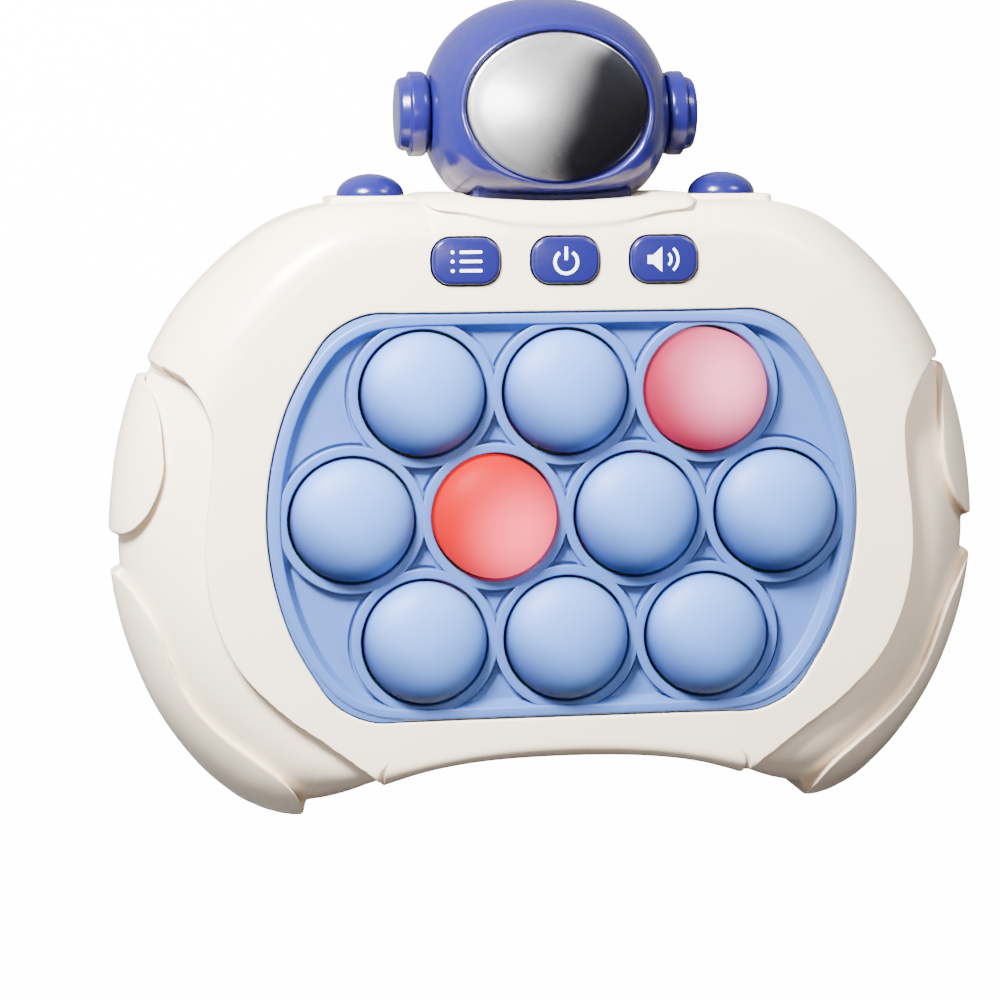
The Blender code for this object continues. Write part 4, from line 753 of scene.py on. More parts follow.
def joined_line(j, overlay, band, face, over_depths, face_depths, tail):
    """The line of one column over overlay, band and face, and the lengths where each one ends."""
    first = left_of(overlay[j], over_depths[j]) if overlay is not None else band[j][:0]
    low, below = band[j], face_depths[0][j]
    high, above = face[j], face_depths[1][j]
    if len(first):
        low, index = carried_on(low, first[-1])
        below = below[index:]
    outer = np.nonzero(below < 0)[0]
    dips = len(outer) > 0 and outer[-1] + 1 < len(below)
    if dips and not len(first) and overlay is not None and below[0] > 0:
        first = left_of(high, above)
        low, below = low[outer[0]:], below[outer[0]:]
        dips = len(first) > 0
    middle = low[:0]
    if dips:
        last = np.nonzero(below < 0)[0][-1]
        middle = np.vstack([low[:last + 1], crossing(low, below, last)])
    if dips or len(first):
        high = carried_on(high, (middle if dips else first)[-1])[0]
    line = np.vstack([part for part in (first, middle, high, tail[j]) if len(part)])
    length = length_along(line)
    ends = np.cumsum([len(first), len(middle), len(high)])
    steps = [(length[end - 1], length[min(end, len(line) - 1)]) if end else (0, 0)
             for end in ends[:2]]
    return line, [*steps[0], *steps[1], length[ends[2] - 1], length[-1]]


def skin_rows(overlay, band, face, over_depths, face_depths, tail, counts):
    """Rows of points over overlay, band and face, and down the tail at their end."""
    lines, marks = zip(*[joined_line(j, overlay, band, face, over_depths, face_depths, tail)
                         for j in range(len(band))])
    marks = np.array(marks)
    along = summed(column_steps)
    has_first = marks[:, 1] > 1e-9
    has_middle = marks[:, 2] > marks[:, 1] + 1e-9
    marks[:, 0] = filled_gaps(marks[:, 0], has_first, along, 0.004)
    marks[:, 1] = np.where(has_first, marks[:, 1], marks[:, 0])
    later = filled_gaps(marks[:, 2] - marks[:, 1], has_middle, along, 0.006)
    marks[:, 2] = np.where(has_middle, marks[:, 2], marks[:, 1] + later)
    marks[:, 3] = np.where(has_middle, marks[:, 3], marks[:, 2])
    rows = np.zeros((sum(counts), len(band), 3))
    soft = collar_columns if overlay is not None else np.zeros(len(band), bool)
    for j, (line, mark) in enumerate(zip(lines, marks)):
        even, smooth = softened(line)
        if soft[j]:
            crisp = eased(mark[4] - 0.006, mark[4] - 0.003, even)[:, None]
            softer = softened(line, COLLAR_SOFTNESS)[1]
            smooth = softer + (smooth - softer) * crisp
        stops = [0, *(mark[[0, 1, 2, 3, 4, 4]] + ROW_MARGIN * np.array([-1, 1, -1, 1, -1, 1])),
                 mark[5]]
        at = spread(np.clip(np.maximum.accumulate(stops), 0, even[-1]), counts)
        at = np.maximum.accumulate(at + np.arange(len(at)) * 1e-6)
        at = at / max(at[-1] / even[-1], 1)
        at[-1] = even[-1]
        rows[:, j] = read_at(at, even, smooth)
    return rows


def eased_columns(rows):
    """Rows softened round the body where the columns lie close together."""
    times, collar_times = 3, 12
    share = 1 - eased(0.00025, 0.0006, np.maximum(column_steps, np.roll(column_steps, 1)))
    share = share[None, :, None]
    for turn in range(times + collar_times):
        if turn == times:
            share = share * collar_columns[None, :, None]
        middle = (np.roll(rows, 1, axis=1) + np.roll(rows, -1, axis=1)) / 2
        rows = rows + share * 0.5 * (middle - rows)
    return rows


def within_box(rows):
    """No point outside the box of the solids."""
    low, high = np.array(cad_box)
    return np.clip(rows, low - (0, PAD_CENTRE_Y, 0), high - (0, PAD_CENTRE_Y, 0))


def opening_at(points):
    """The point of the pad's opening that lies in the same direction as each point."""
    ring = finer(moved_in(pad_outline, -GAP), np.arange(0, PAD_LOOP_COUNT, 0.05))
    turn = np.arctan2(ring[:, 1] / PAD_HALF_HEIGHT, ring[:, 0] / PAD_HALF_WIDTH)
    order = np.argsort(turn)
    wanted = np.arctan2(points[:, 1] / PAD_HALF_HEIGHT, points[:, 0] / PAD_HALF_WIDTH)
    return np.column_stack([np.interp(wanted, turn[order], axis[order], period=2 * math.pi)
                            for axis in ring.T])


BAND_WIDTH, FACE_WIDTH = 0.017, 0.012
FRONT_HEIGHTS, BACK_HEIGHTS = (0.0200, 0.0085), (0.0140, 0.0070)
BAND_OUTSET, FIN_OUTSET, COLLAR_OUTSET, FIN_LIFT = -0.0008, 0.0006, 0.0016, 0.0007


def body_rows(parting_z, foot_z, face_z, band_sink, collar_z, heights, target, tail):
    """The outer rows of one half of the body."""
    way = math.copysign(1, face_z - foot_z)
    collar_heights = (heights[0], heights[1] + COLLAR_OUTSET)
    given = (columns, target, parting_z)
    band = body_paths(*given, foot_z, BAND_OUTSET, face_z - way * band_sink, BAND_WIDTH, heights)
    face = body_paths(*given, foot_z - way * 0.001, 0, face_z, FACE_WIDTH, heights)
    fins = body_paths(*given, foot_z - way * 0.002, FIN_OUTSET,
                      face_z - way * (band_sink - FIN_LIFT), BAND_WIDTH, heights)
    collar = body_paths(*given, foot_z - way * 0.003, COLLAR_OUTSET, collar_z, FACE_WIDTH,
                        collar_heights)
    share = (1 - eased(0.0235, 0.0295, np.abs(column_ring[:, 0])))[:, None, None]
    overlay = np.where(collar_columns[:, None, None], face + (collar - face) * share, fins)
    raised = [*fin_outlines, collar_outline]
    over = depth_along(overlay, raised)
    inside = [depth_along(paths, [face_outline]) for paths in (band, face)]
    rows = skin_rows(overlay, band, face, over, inside, tail, (10, 9, 12, 9, 22, 8, 3))
    return eased_columns(rows)


# %% [markdown]
# The front half carries the pad's opening, three button holes, the seat of the helmet and the
# raised pads for the shoulder buttons. The skin is a hollow ring, from the parting line up and over
# to the opening and back inside the wall. Holes and pads are then cut and joined as in the mould.

# %% The front shell
SHOULDER_X = 0.0337
SHOULDER_Z = 0.0200
PAD_TOP_Y = BODY_TOP + 0.0011
HELMET_HALF_WIDTH, HELMET_HALF_HEIGHT, HELMET_LOOP_COUNT = 0.0240, 0.0189, 32
HELMET_CENTRE_Y = BODY_TOP + GAP + HELMET_HALF_HEIGHT
BUTTON_PITCH = 0.01845
BUTTON_HALF_WIDTH, BUTTON_HALF_HEIGHT, BUTTON_CORNER, BUTTON_EDGE = 0.0063, 0.0043, 0.0035, 0.0007
NECK_HALF_WIDTH, NECK_HALF_DEPTH = 0.0150, 0.0090
SHOULDER_RADIUS, SHOULDER_RISE, BUTTON_PLAY = 0.0064, 0.0041, 0.00035
BUTTON_Y = PAD_HALF_HEIGHT + (BODY_TOP - PAD_HALF_HEIGHT) * 0.475


def along_y(loop, low, high, centre):
    """A column on a loop whose plane faces along Y, at a centre in X and Z."""
    mesh = column_mesh("column", loop, low, high)
    return turned_to(mesh, -90, "X", (centre[0], 0, centre[1]))


SHOULDER_PAD = (0.0083, 0.0085)


def shoulder_pad(side, low, high):
    """A rounded pad with soft outer edges, cut off at the parting plane."""
    rings = [at_height(rounded_rectangle(*SHOULDER_PAD, 0.0020, 6), BODY_TOP - 2 * WALL)]
    for turn in quarter(6):
        inset = 0.0006 * (1 - math.cos(turn))
        loop = rounded_rectangle(*(half - inset for half in SHOULDER_PAD), 0.0020, 6)
        rings.append(at_height(loop, PAD_TOP_Y - 0.0006 * (1 - math.sin(turn))))
    mesh = turned_to(ring_mesh("pad", rings), -90, "X", (side * SHOULDER_X, 0, SHOULDER_Z))
    return half_mesh(mesh, low, high)


HELMET_SHARES = (
    (0.000, 1.000), (0.330, 0.950), (0.605, 0.800), (0.800, 0.575), (0.930, 0.280),
    (1.000, -0.080), (0.970, -0.420), (0.875, -0.700), (0.740, -0.925), (0.400, -0.980),
    (0.000, -1.000),
)
helmet_half = scaled(HELMET_SHARES, HELMET_HALF_WIDTH, HELMET_HALF_HEIGHT)
helmet_outline = mirrored_outline([(x, HELMET_CENTRE_Y + y) for x, y in helmet_half],
                                  HELMET_LOOP_COUNT)


def seat_cuts(shell):
    """Leave room for the helmet, its neck and the shoulder buttons."""
    seat = finer(moved_in(helmet_outline, -GAP), np.arange(0, HELMET_LOOP_COUNT, 0.25))
    combined(shell, [column_mesh("seat", seat, UNDER, OVER)], "DIFFERENCE")
    neck = rounded_rectangle(NECK_HALF_WIDTH + GAP, NECK_HALF_DEPTH + GAP, 0.0008, 3)
    combined(shell, [along_y(neck, BODY_TOP - 3 * WALL, HELMET_CENTRE_Y, (0, PARTING_Z))],
             "DIFFERENCE")
    hole = circle(SHOULDER_RADIUS + BUTTON_PLAY, 64)
    combined(shell, [along_y(hole, BODY_TOP - 3 * WALL, BODY_TOP + 3 * WALL,
                             (side * SHOULDER_X, SHOULDER_Z)) for side in (-1, 1)], "DIFFERENCE")


FRONT_PARTING_Z = PARTING_Z + GAP / 2
opening = opening_at(column_ring)
wall_foot = at_height(opening, FACE_Z - WALL)
outer = body_rows(FRONT_PARTING_Z, FRONT_PARTING_Z - 0.001, FACE_Z, 0.0025, FACE_Z + 0.0004,
                  FRONT_HEIGHTS, opening, wall_foot[:, None, :])
cavity = body_paths(columns, opening, FRONT_PARTING_Z, FRONT_PARTING_Z - 0.001, -0.003, 0.0353,
                    BAND_WIDTH, FRONT_HEIGHTS, WALL)
pocket = body_paths(columns, opening, FRONT_PARTING_Z, PARTING_Z + 0.001, -0.0033, FACE_Z - WALL,
                    FACE_WIDTH, FRONT_HEIGHTS, WALL)
inner_face = moved_in(face_outline, 2 * WALL, 24)
inner_depths = [depth_along(paths, [inner_face]) for paths in (cavity, pocket)]
inner = skin_rows(None, cavity, pocket, None, inner_depths, pocket[:, -1:, :],
                  (1, 1, 5, 4, 8, 1, 1))[2:-2]
front_rows = within_box(np.concatenate([outer, inner[::-1]]))
front_shell = new_piece("shell_front_skin", ring_mesh("shell_front_skin", front_rows, True))
combined(front_shell, [shoulder_pad(side, FRONT_PARTING_Z, FAR) for side in (-1, 1)], "UNION")
button_hole = rounded_rectangle(*(size + BUTTON_PLAY for size in (
    BUTTON_HALF_WIDTH, BUTTON_HALF_HEIGHT, BUTTON_CORNER)), 10)
combined(front_shell, [column_mesh("hole", button_hole + (column * BUTTON_PITCH, BUTTON_Y), 0.033,
                                   OVER) for column in (-1, 0, 1)], "DIFFERENCE")
seat_cuts(front_shell)
dressed(front_shell, shell_white, "body", ["front_shell"], 28)

# %% [markdown]
# ## The rear shell
# The back lies on the table. It is the same kind of skin with less height, closed by a flat in the
# middle. The battery bay is a box joined to the inside and hollowed from outside. The screw posts,
# the seat of the door and the slots in front of the speaker are where such games have them.

# %% Rear shell skin, bay, posts and slots
BACK_PARTING_Z = PARTING_Z - GAP / 2
BAY_CENTRE_Y = -0.0140
BAY_HALF_LENGTH, BAY_HALF_HEIGHT, BAY_ROOF_Z = 0.02645, 0.01675, 0.0129
DOOR_HALF_LENGTH, DOOR_HALF_HEIGHT, DOOR_THICKNESS = 0.03505, 0.01995, 0.0018
SPEAKER_Y = 0.0270
body_screws = [(side * x * HALF_WIDTH, y * BODY_TOP) for x, y in ((0.590, 0.740), (0.600, -0.700))
               for side in (-1, 1)]
door_screws = [(side * (BAY_HALF_LENGTH + 0.0049), BAY_CENTRE_Y) for side in (-1, 1)]

middle = opening_at(column_ring) * 0.9
back_outer = body_rows(BACK_PARTING_Z, BACK_PARTING_Z + 0.001, 0.0, 0.0008, 0.0004,
                       BACK_HEIGHTS, middle, at_height(middle * 0.97, 0.0)[:, None, :])
back_cavity = body_paths(columns, middle, BACK_PARTING_Z, BACK_PARTING_Z + 0.001, -0.003, 0.0030,
                         BAND_WIDTH, BACK_HEIGHTS, WALL)
never = [np.full(back_cavity.shape[:2], 1.0)] * 2
back_inner = skin_rows(None, back_cavity, back_cavity, None, never, back_cavity[:, -1:, :],
                       (1, 1, 1, 1, 14, 1, 1))[2:-2]
back_rows = within_box(np.concatenate([back_outer[::-1], back_inner]))
rear_shell = new_piece("shell_rear_skin", ring_mesh("shell_rear_skin", back_rows))
combined(rear_shell, [shoulder_pad(side, -FAR, BACK_PARTING_Z) for side in (-1, 1)], "UNION")


def bay_mesh(grow, low, high):
    loop = rounded_rectangle(BAY_HALF_LENGTH + grow, BAY_HALF_HEIGHT + grow, 0.0008, 3)
    return column_mesh("bay", loop + (0, BAY_CENTRE_Y), low, high)


BAY_WALL, BACK_INSIDE_Z = 0.0015, 0.002
POST_RADIUS, POST_HOLE_RADIUS, HEAD_SEAT_RADIUS, HEAD_SEAT_Z = 0.0046, 0.0017, 0.0031, 0.0080
DOOR_POST_RADIUS, DOOR_POST_TOP_Z = 0.0029, 0.0088
DOOR_HOLE_RADIUS, DOOR_HOLE_TOP_Z = 0.0016, 0.0078
SPEAKER_WALL_RADIUS, SPEAKER_SEAT_RADIUS, SPEAKER_WALL_TOP_Z = 0.0157, 0.0143, 0.0082
SLOT_COUNT, SLOT_PITCH = 5, 0.0038
combined(rear_shell, [bay_mesh(BAY_WALL, BACK_INSIDE_Z, BAY_ROOF_Z + BAY_WALL)], "UNION")
posts = round_columns(POST_RADIUS, 32, body_screws, BACK_INSIDE_Z, BACK_PARTING_Z)
posts += round_columns(DOOR_POST_RADIUS, 24, door_screws, BACK_INSIDE_Z, DOOR_POST_TOP_Z)
combined(rear_shell, posts, "UNION")
speaker_place = [(0, SPEAKER_Y)]
combined(rear_shell, round_columns(SPEAKER_WALL_RADIUS, 64, speaker_place, BACK_INSIDE_Z,
                                   SPEAKER_WALL_TOP_Z), "UNION")
combined(rear_shell, round_columns(SPEAKER_SEAT_RADIUS, 64, speaker_place, 0.0030, 0.02),
         "DIFFERENCE")
door_seat = rounded_rectangle(DOOR_HALF_LENGTH + GAP, DOOR_HALF_HEIGHT + GAP, 0.0033, 8)
door_seat = column_mesh("door", door_seat + (0, BAY_CENTRE_Y), UNDER, DOOR_THICKNESS + GAP)
combined(rear_shell, [door_seat], "DIFFERENCE")
combined(rear_shell, [bay_mesh(0, UNDER, BAY_ROOF_Z)], "DIFFERENCE")
holes = round_columns(POST_HOLE_RADIUS, 24, body_screws, UNDER, 0.03)
holes += round_columns(DOOR_HOLE_RADIUS, 24, door_screws, UNDER, DOOR_HOLE_TOP_Z)
combined(rear_shell, holes, "DIFFERENCE")
combined(rear_shell, round_columns(HEAD_SEAT_RADIUS, 48, body_screws, UNDER, HEAD_SEAT_Z),
         "DIFFERENCE")
slot = rounded_rectangle(0.0085, 0.0008, 0.00078, 6)
slots = [slot + (0, SPEAKER_Y + (row - SLOT_COUNT // 2) * SLOT_PITCH) for row in range(SLOT_COUNT)]
combined(rear_shell, [column_mesh("slot", loop, UNDER, 0.0052) for loop in slots], "DIFFERENCE")
seat_cuts(rear_shell)
dressed(rear_shell, shell_white, "body", ["rear_shell"], 28)

# %% [markdown]
# ## The helmet
# Two halves meet on the parting plane, like the body. The front half rounds over from its outline
# to an oval opening with a slight ridge round it, in which a thin ledge carries the mirror visor.
# The ear caps are turned discs in round seats at the sides.

# %% Helmet halves
VISOR_CENTRE = (0.0, HELMET_CENTRE_Y - 0.0019)
VISOR_HALF_WIDTH, VISOR_HALF_HEIGHT = 0.0170, 0.0138
EAR_CENTRE_Y = HELMET_CENTRE_Y - 0.0029
HELMET_PLACES = np.arange(0, HELMET_LOOP_COUNT, HELMET_LOOP_COUNT / 208)
HELMET_WALL, HELMET_FACE_Z, HELMET_BACK_Z = 0.002, 0.0350, PARTING_Z - 0.0155
LEDGE_TOP_Z, LEDGE_FOOT_Z = 0.0313, 0.0295
HELMET_RIM_FOOT, HELMET_RIM_TOP = 0.0040, 0.0110
EAR_SEAT_RADIUS, EAR_SEAT_X = 0.0083, 0.0223
FLANGE_OVER = 0.0025


def helmet_paths(inset, target, parting_z, foot_z, face_z, edge_height):
    """The paths up one half of the helmet to a target loop."""
    loop = moved_in(helmet_outline, inset)
    share = eased(HELMET_CENTRE_Y - HELMET_HALF_HEIGHT * 0.85, HELMET_CENTRE_Y, loop[:, 1])
    width = HELMET_RIM_FOOT + (HELMET_RIM_TOP - HELMET_RIM_FOOT) * share
    height = np.full(len(HELMET_PLACES), min(edge_height, abs(face_z - foot_z) * 0.97))
    return climb(loop, width, HELMET_PLACES, height, target, parting_z, foot_z, face_z)


def visor_oval(turn, grow):
    """Points of an oval round the visor's middle, which is the visor's edge grown by a length."""
    return np.column_stack([(VISOR_HALF_WIDTH + grow) * np.cos(turn),
                            VISOR_CENTRE[1] + (VISOR_HALF_HEIGHT + grow) * np.sin(turn)])


def spaced_rows(paths, count, amount):
    """Even rows along each softened path."""
    rows = []
    for path in paths:
        even, smooth = softened(path, amount)
        rows.append(read_at(np.linspace(0, even[-1], count), even, smooth))
    return np.swapaxes(np.array(rows), 0, 1)


def cut_rows(paths, edge, floor_z, counts):
    """Rows along each path over a ridge to where it meets the edge, then straight to a floor."""
    margin, ridge, ridge_place, ridge_width = 0.0009, 0.0005, 0.0009, 0.0005
    rows = []
    for path, deep in zip(paths, depth_along(paths, [edge])):
        path[:, 2] += ridge * np.exp(-((deep + ridge_place) / ridge_width) ** 2)
        last = int(np.argmax(deep > 0)) - 1
        end = crossing(path, deep, last)
        down = np.column_stack([np.tile(end[:2], (8, 1)), np.linspace(end[2], floor_z, 8)])
        line = np.vstack([path[:last + 1], down])
        edge_at = length_along(line)[last + 1]
        even, smooth = softened(line, 0.00036)
        at = spread((0, edge_at - margin, edge_at + margin, even[-1]), counts)
        rows.append(read_at(at, even, smooth))
    return np.swapaxes(np.array(rows), 0, 1)


def neck_mesh(low, high):
    """The neck and the flange that the shells hold, within one half."""
    flange_top = BODY_TOP - 0.003 - GAP
    centre = (0, PARTING_Z)
    stem = rounded_rectangle(NECK_HALF_WIDTH, NECK_HALF_DEPTH, 0.0006, 3)
    neck = new_piece("neck", along_y(stem, flange_top - 0.0017, BODY_TOP + 2 * WALL, centre))
    flange = rounded_rectangle(NECK_HALF_WIDTH + FLANGE_OVER, NECK_HALF_DEPTH + FLANGE_OVER,
                               0.0006, 3)
    combined(neck, [along_y(flange, flange_top - 0.0020, flange_top, centre)], "UNION")
    return half_mesh(mesh_of(neck), low, high)


def ear_seat_cuts(helmet):
    for side in (-1, 1):
        seat = column_mesh("seat", circle(EAR_SEAT_RADIUS, 96), EAR_SEAT_X, 0.0300)
        turned_to(seat, 90 * side, "Y", (0, EAR_CENTRE_Y, PARTING_Z))
        combined(helmet, [seat], "DIFFERENCE")


helmet_ring = finer(helmet_outline, HELMET_PLACES)
centre_loop = VISOR_CENTRE + (helmet_ring - VISOR_CENTRE) * 0.3
opening_edge = visor_oval(np.linspace(0, 2 * math.pi, 200, endpoint=False), GAP)
lip = visor_oval(np.arctan2((helmet_ring[:, 1] - VISOR_CENTRE[1]) / VISOR_HALF_HEIGHT,
                            helmet_ring[:, 0] / VISOR_HALF_WIDTH), -0.003)
shell_paths = helmet_paths(0, centre_loop, FRONT_PARTING_Z, PARTING_Z - 0.001, HELMET_FACE_Z,
                           0.0170)
front_outer = cut_rows(shell_paths, opening_edge, LEDGE_TOP_Z, (46, 12, 4))
ledge = np.array([at_height(lip, z) for z in (LEDGE_TOP_Z, LEDGE_FOOT_Z)])
inside_paths = helmet_paths(HELMET_WALL, lip, FRONT_PARTING_Z, PARTING_Z - 0.002, LEDGE_FOOT_Z,
                            0.0150)
front_inner = spaced_rows(inside_paths, 18, 0.0001)[::-1][1:]
helmet_front = new_piece("helmet_front_skin", ring_mesh(
    "helmet_front_skin", within_box(np.concatenate([front_outer, ledge, front_inner])), True))
combined(helmet_front, [neck_mesh(FRONT_PARTING_Z, FAR)], "UNION")
screw_places = [(side * 0.0174, VISOR_CENTRE[1]) for side in (-1, 1)]
combined(helmet_front, round_columns(0.0026, 32, screw_places, FRONT_PARTING_Z, 0.0304), "UNION")
combined(helmet_front, round_columns(0.0014, 24, screw_places, 0.017, 0.0250), "DIFFERENCE")
ear_seat_cuts(helmet_front)
dressed(helmet_front, royal_blue, "body", ["helmet_front"], 35)

outer_paths = helmet_paths(0, centre_loop, BACK_PARTING_Z, PARTING_Z + 0.001, HELMET_BACK_Z, 0.0155)
inner_paths = helmet_paths(HELMET_WALL, centre_loop, BACK_PARTING_Z, PARTING_Z + 0.002,
                           HELMET_BACK_Z + HELMET_WALL, 0.0135)
helmet_rear = new_piece("helmet_rear_skin", ring_mesh("helmet_rear_skin", within_box(np.concatenate(
    [spaced_rows(outer_paths, 48, 0.0004)[::-1], spaced_rows(inner_paths, 20, 0.0001)]))))
combined(helmet_rear, [neck_mesh(-FAR, BACK_PARTING_Z)], "UNION")
first_post, other_post = round_columns(0.0032, 32, screw_places, HELMET_BACK_Z, BACK_PARTING_Z)
rear_posts = combined(new_piece("posts", first_post), [other_post], "UNION")
within = ring_mesh("within", spaced_rows(helmet_paths(
    0.001, centre_loop, PARTING_Z, PARTING_Z + 0.003, HELMET_BACK_Z + 0.001, 0.0155), 24,
    0.0001)[::-1])
combined(rear_posts, [within], "INTERSECT")
combined(helmet_rear, [mesh_of(rear_posts)], "UNION")
combined(helmet_rear, round_columns(0.0014, 24, screw_places, 0.0100, 0.020), "DIFFERENCE")
combined(helmet_rear, round_columns(0.0025, 40, screw_places, UNDER, 0.0110), "DIFFERENCE")
ear_seat_cuts(helmet_rear)
dressed(helmet_rear, royal_blue, "body", ["helmet_rear"], 35)


# %% Ear caps and visor
def rounded_profile(points, rounding):
    """A profile of (radius, height) points whose corners are rounded, but not its two ends."""
    result = [points[0]]
    for before, corner, after in zip(points, points[1:], points[2:]):
        before, corner, after = (np.array(p, float) for p in (before, corner, after))
        back, on = before - corner, after - corner
        reach = min(rounding, np.linalg.norm(back) * 0.45, np.linalg.norm(on) * 0.45)
        start = corner + back / np.linalg.norm(back) * reach
        end = corner + on / np.linalg.norm(on) * reach
        for share in np.linspace(0, 1, 6):
            result.append(tuple((1 - share) ** 2 * start + 2 * share * (1 - share) * corner
                                + share ** 2 * end))
    return result + [points[-1]]


ear_profile = rounded_profile([(0, 0.0284), (0.0066, 0.0284), (0.0071, 0.0262), (0.0080, 0.0262),
                               (0.0080, 0.0226), (0, 0.0226)], 0.0018)
for side, name in ((-1, "ear_cap_left"), (1, "ear_cap_right")):
    mesh = turned_to(turned_mesh(name, ear_profile), 90 * side, "Y", (0, EAR_CENTRE_Y, PARTING_Z))
    dressed(new_piece(f"{name}_turned", mesh), royal_blue, "body", [name], 35)

VISOR_EDGE_Z, VISOR_RISE = 0.0332, 0.0015
visor_turn = np.linspace(0, 2 * math.pi, 128, endpoint=False)
oval = np.column_stack([VISOR_HALF_WIDTH * np.cos(visor_turn),
                        VISOR_HALF_HEIGHT * np.sin(visor_turn)])
visor_rings = [at_height(oval + VISOR_CENTRE, 0.0316)]
for inset, height in ((0.0, 0.0328), (0.00008, 0.0330), (0.0003, 0.03318), (0.0006, 0.03322)):
    visor_rings.append(at_height(oval * (1 - inset / 0.0150) + VISOR_CENTRE, height))
for share in (0.9, 0.8, 0.7, 0.6, 0.5, 0.4, 0.3, 0.2, 0.1, 0.04):
    visor_rings.append(at_height(oval * share + VISOR_CENTRE,
                                 VISOR_EDGE_Z + VISOR_RISE * (1 - share ** 2)))
mesh = ring_mesh("visor_plate", visor_rings)


def make_mirror():
    """Silvered plastic with a painted reflection, pale at left and dark at right, in soft clouds.
    """
    material = bpy.data.materials.new("mirror_silver")
    wires, shader = opened(material)
    where = wires.own_place()
    place = wires.add("ShaderNodeMapping", {"Vector": where, "Scale": (1, 1.7, 1),
                                            "Rotation": (0, 0, math.radians(-24))})
    painted_reflection_clouds = wires.add("ShaderNodeTexNoise", {"Vector": place.outputs["Vector"], "Scale": 34,
                                             "Detail": 0.6}).outputs["Fac"]
    # Painted reflection: the metal's colour is pale at the left and dark at the right, broken by
    # soft clouds.
    painted_reflection_slope = wires.vectors("DOT_PRODUCT", where, (-26, 6, 0), "Value")
    level = wires.maths("ADD", painted_reflection_slope, -6 * (VISOR_CENTRE[1] + PAD_CENTRE_Y))
    painted_reflection = wires.add("ShaderNodeValToRGB", {"Fac": wires.maths("ADD", level, painted_reflection_clouds)})
    painted_reflection.color_ramp.interpolation = "EASE"
    for stop, position, colour in zip(painted_reflection.color_ramp.elements, (0.24, 0.62),
                                      ((0.05, 0.05, 0.062, 1), (0.95, 0.95, 0.96, 1))):
        stop.position, stop.color = position, colour
    skin = wires.add("ShaderNodeGroup", {
        "Drift scale": 70.0, "Skin scale": 150.0, "Skin depth": 0.12, "Low roughness": 0.2,
        "High roughness": 0.34}, node_tree=moulded_skin).outputs
    wires.feed(shader, {"Metallic": 1.0, "Base Color": painted_reflection.outputs["Color"],
                        "Roughness": skin["Roughness"], "Normal": skin["Normal"]})
    return material


dressed(new_piece("visor_mirror", mesh), make_mirror(), "body", ["visor"], 40)

# %% [markdown]
# ## The pad
# The pad is a tray: a raised rim with a sloped inner wall round a sunken floor, and ten round
# holes. Each hole has a raised lip with a shallow groove round it. Neighbouring lips run into each
# other and leave three-cornered pockets. So the grooves are cut first, the lips are joined next,
# and the holes, with their rounded mouths, are cut at the end.

# %% Pad plate with its holes
dome_places = [((column - (count - 1) / 2) * PITCH, y)
               for count, y in ((3, ROW_SPACING), (4, 0.0), (3, -ROW_SPACING))
               for column in range(count)]
HOLE_RADIUS = DOME_RADIUS + 0.00055
PAD_FLOOR_Z, LIP_RADIUS, LIP_TOP_Z, MOUTH = 0.0375, 0.0137, 0.0396, 0.0003
pad_places = np.arange(0, PAD_LOOP_COUNT, PAD_LOOP_COUNT / 264)


def pad_row(inset, height):
    return at_height(finer(moved_in(pad_outline, inset), pad_places), height)


def fillet_rows(inset, height, radius, shape):
    """Rows round an edge of the pad: an outer edge goes over or down, an inner one is hollow."""
    rows = []
    for turn in quarter(5):
        opens, closes = radius * (1 - math.cos(turn)), radius * (1 - math.sin(turn))
        move = {"over": (opens, -closes), "down": (-closes, -opens), "hollow": (opens, closes)}
        rows.append(pad_row(inset + move[shape][0], height + move[shape][1]))
    return rows


plate_rows = [pad_row(-0.002, 0.0360), pad_row(-0.002, PAD_FLOOR_Z), pad_row(0, PAD_FLOOR_Z)]
plate_rows += fillet_rows(0, FACE_Z, 0.0004, "over")
plate_rows += fillet_rows(0.0020, FACE_Z, 0.0004, "down")
plate_rows += fillet_rows(0.0029, 0.0380, 0.0005, "hollow")
pad_plate = new_piece("pad_plate", ring_mesh("pad_plate", plate_rows))
GROOVE_INNER, GROOVE_OUTER, GROOVE_FOOT_Z, GROOVE_TOP_Z = 0.0132, 0.0143, 0.0373, 0.0384
groove_block = [(GROOVE_INNER, GROOVE_FOOT_Z), (GROOVE_OUTER, GROOVE_FOOT_Z),
                (GROOVE_OUTER, GROOVE_TOP_Z), (GROOVE_INNER, GROOVE_TOP_Z)]
lip_block = rounded_profile([(0, LIP_TOP_Z), (LIP_RADIUS, LIP_TOP_Z), (LIP_RADIUS, 0.0370),
                             (0, 0.0370)], 0.0003)
hole_block = [(0, 0.0410), (HOLE_RADIUS + 0.0013, 0.0410)]
hole_block += [(HOLE_RADIUS + MOUTH * (1 - math.sin(turn)),
                LIP_TOP_Z - MOUTH * (1 - math.cos(turn))) for turn in quarter(5)]
hole_block += [(HOLE_RADIUS, 0.0350), (0, 0.0350)]
for block, operation, closed in ((groove_block, "DIFFERENCE", True), (lip_block, "UNION", False),
                                 (hole_block, "DIFFERENCE", False)):
    for place in dome_places:
        tool = turned_to(turned_mesh("tool", block, 112, closed), 0, "Z", (*place, 0))
        combined(pad_plate, [tool], operation)
dressed(pad_plate, pad_blue, "body", ["bubble_panel"], 30)


# %% [markdown]
# ## Shapes that follow a rule
# Domes and screws repeat, so a Geometry Nodes tree makes each kind. A piece starts as one point,
# the tree puts the shape in its place, and the result is kept as a plain mesh.

# %% Node trees on pieces
def finish_tree(wires, geometry, given, result):
    """End a tree as the export needs it: no instances left, and the material set."""
    whole = wires.add("GeometryNodeRealizeInstances", {"Geometry": geometry}).outputs["Geometry"]
    done = wires.add("GeometryNodeSetMaterial", {"Geometry": whole, "Material": given["Finish"]})
    wires.feed(result, {"Geometry": done.outputs["Geometry"]})
    return wires.tree


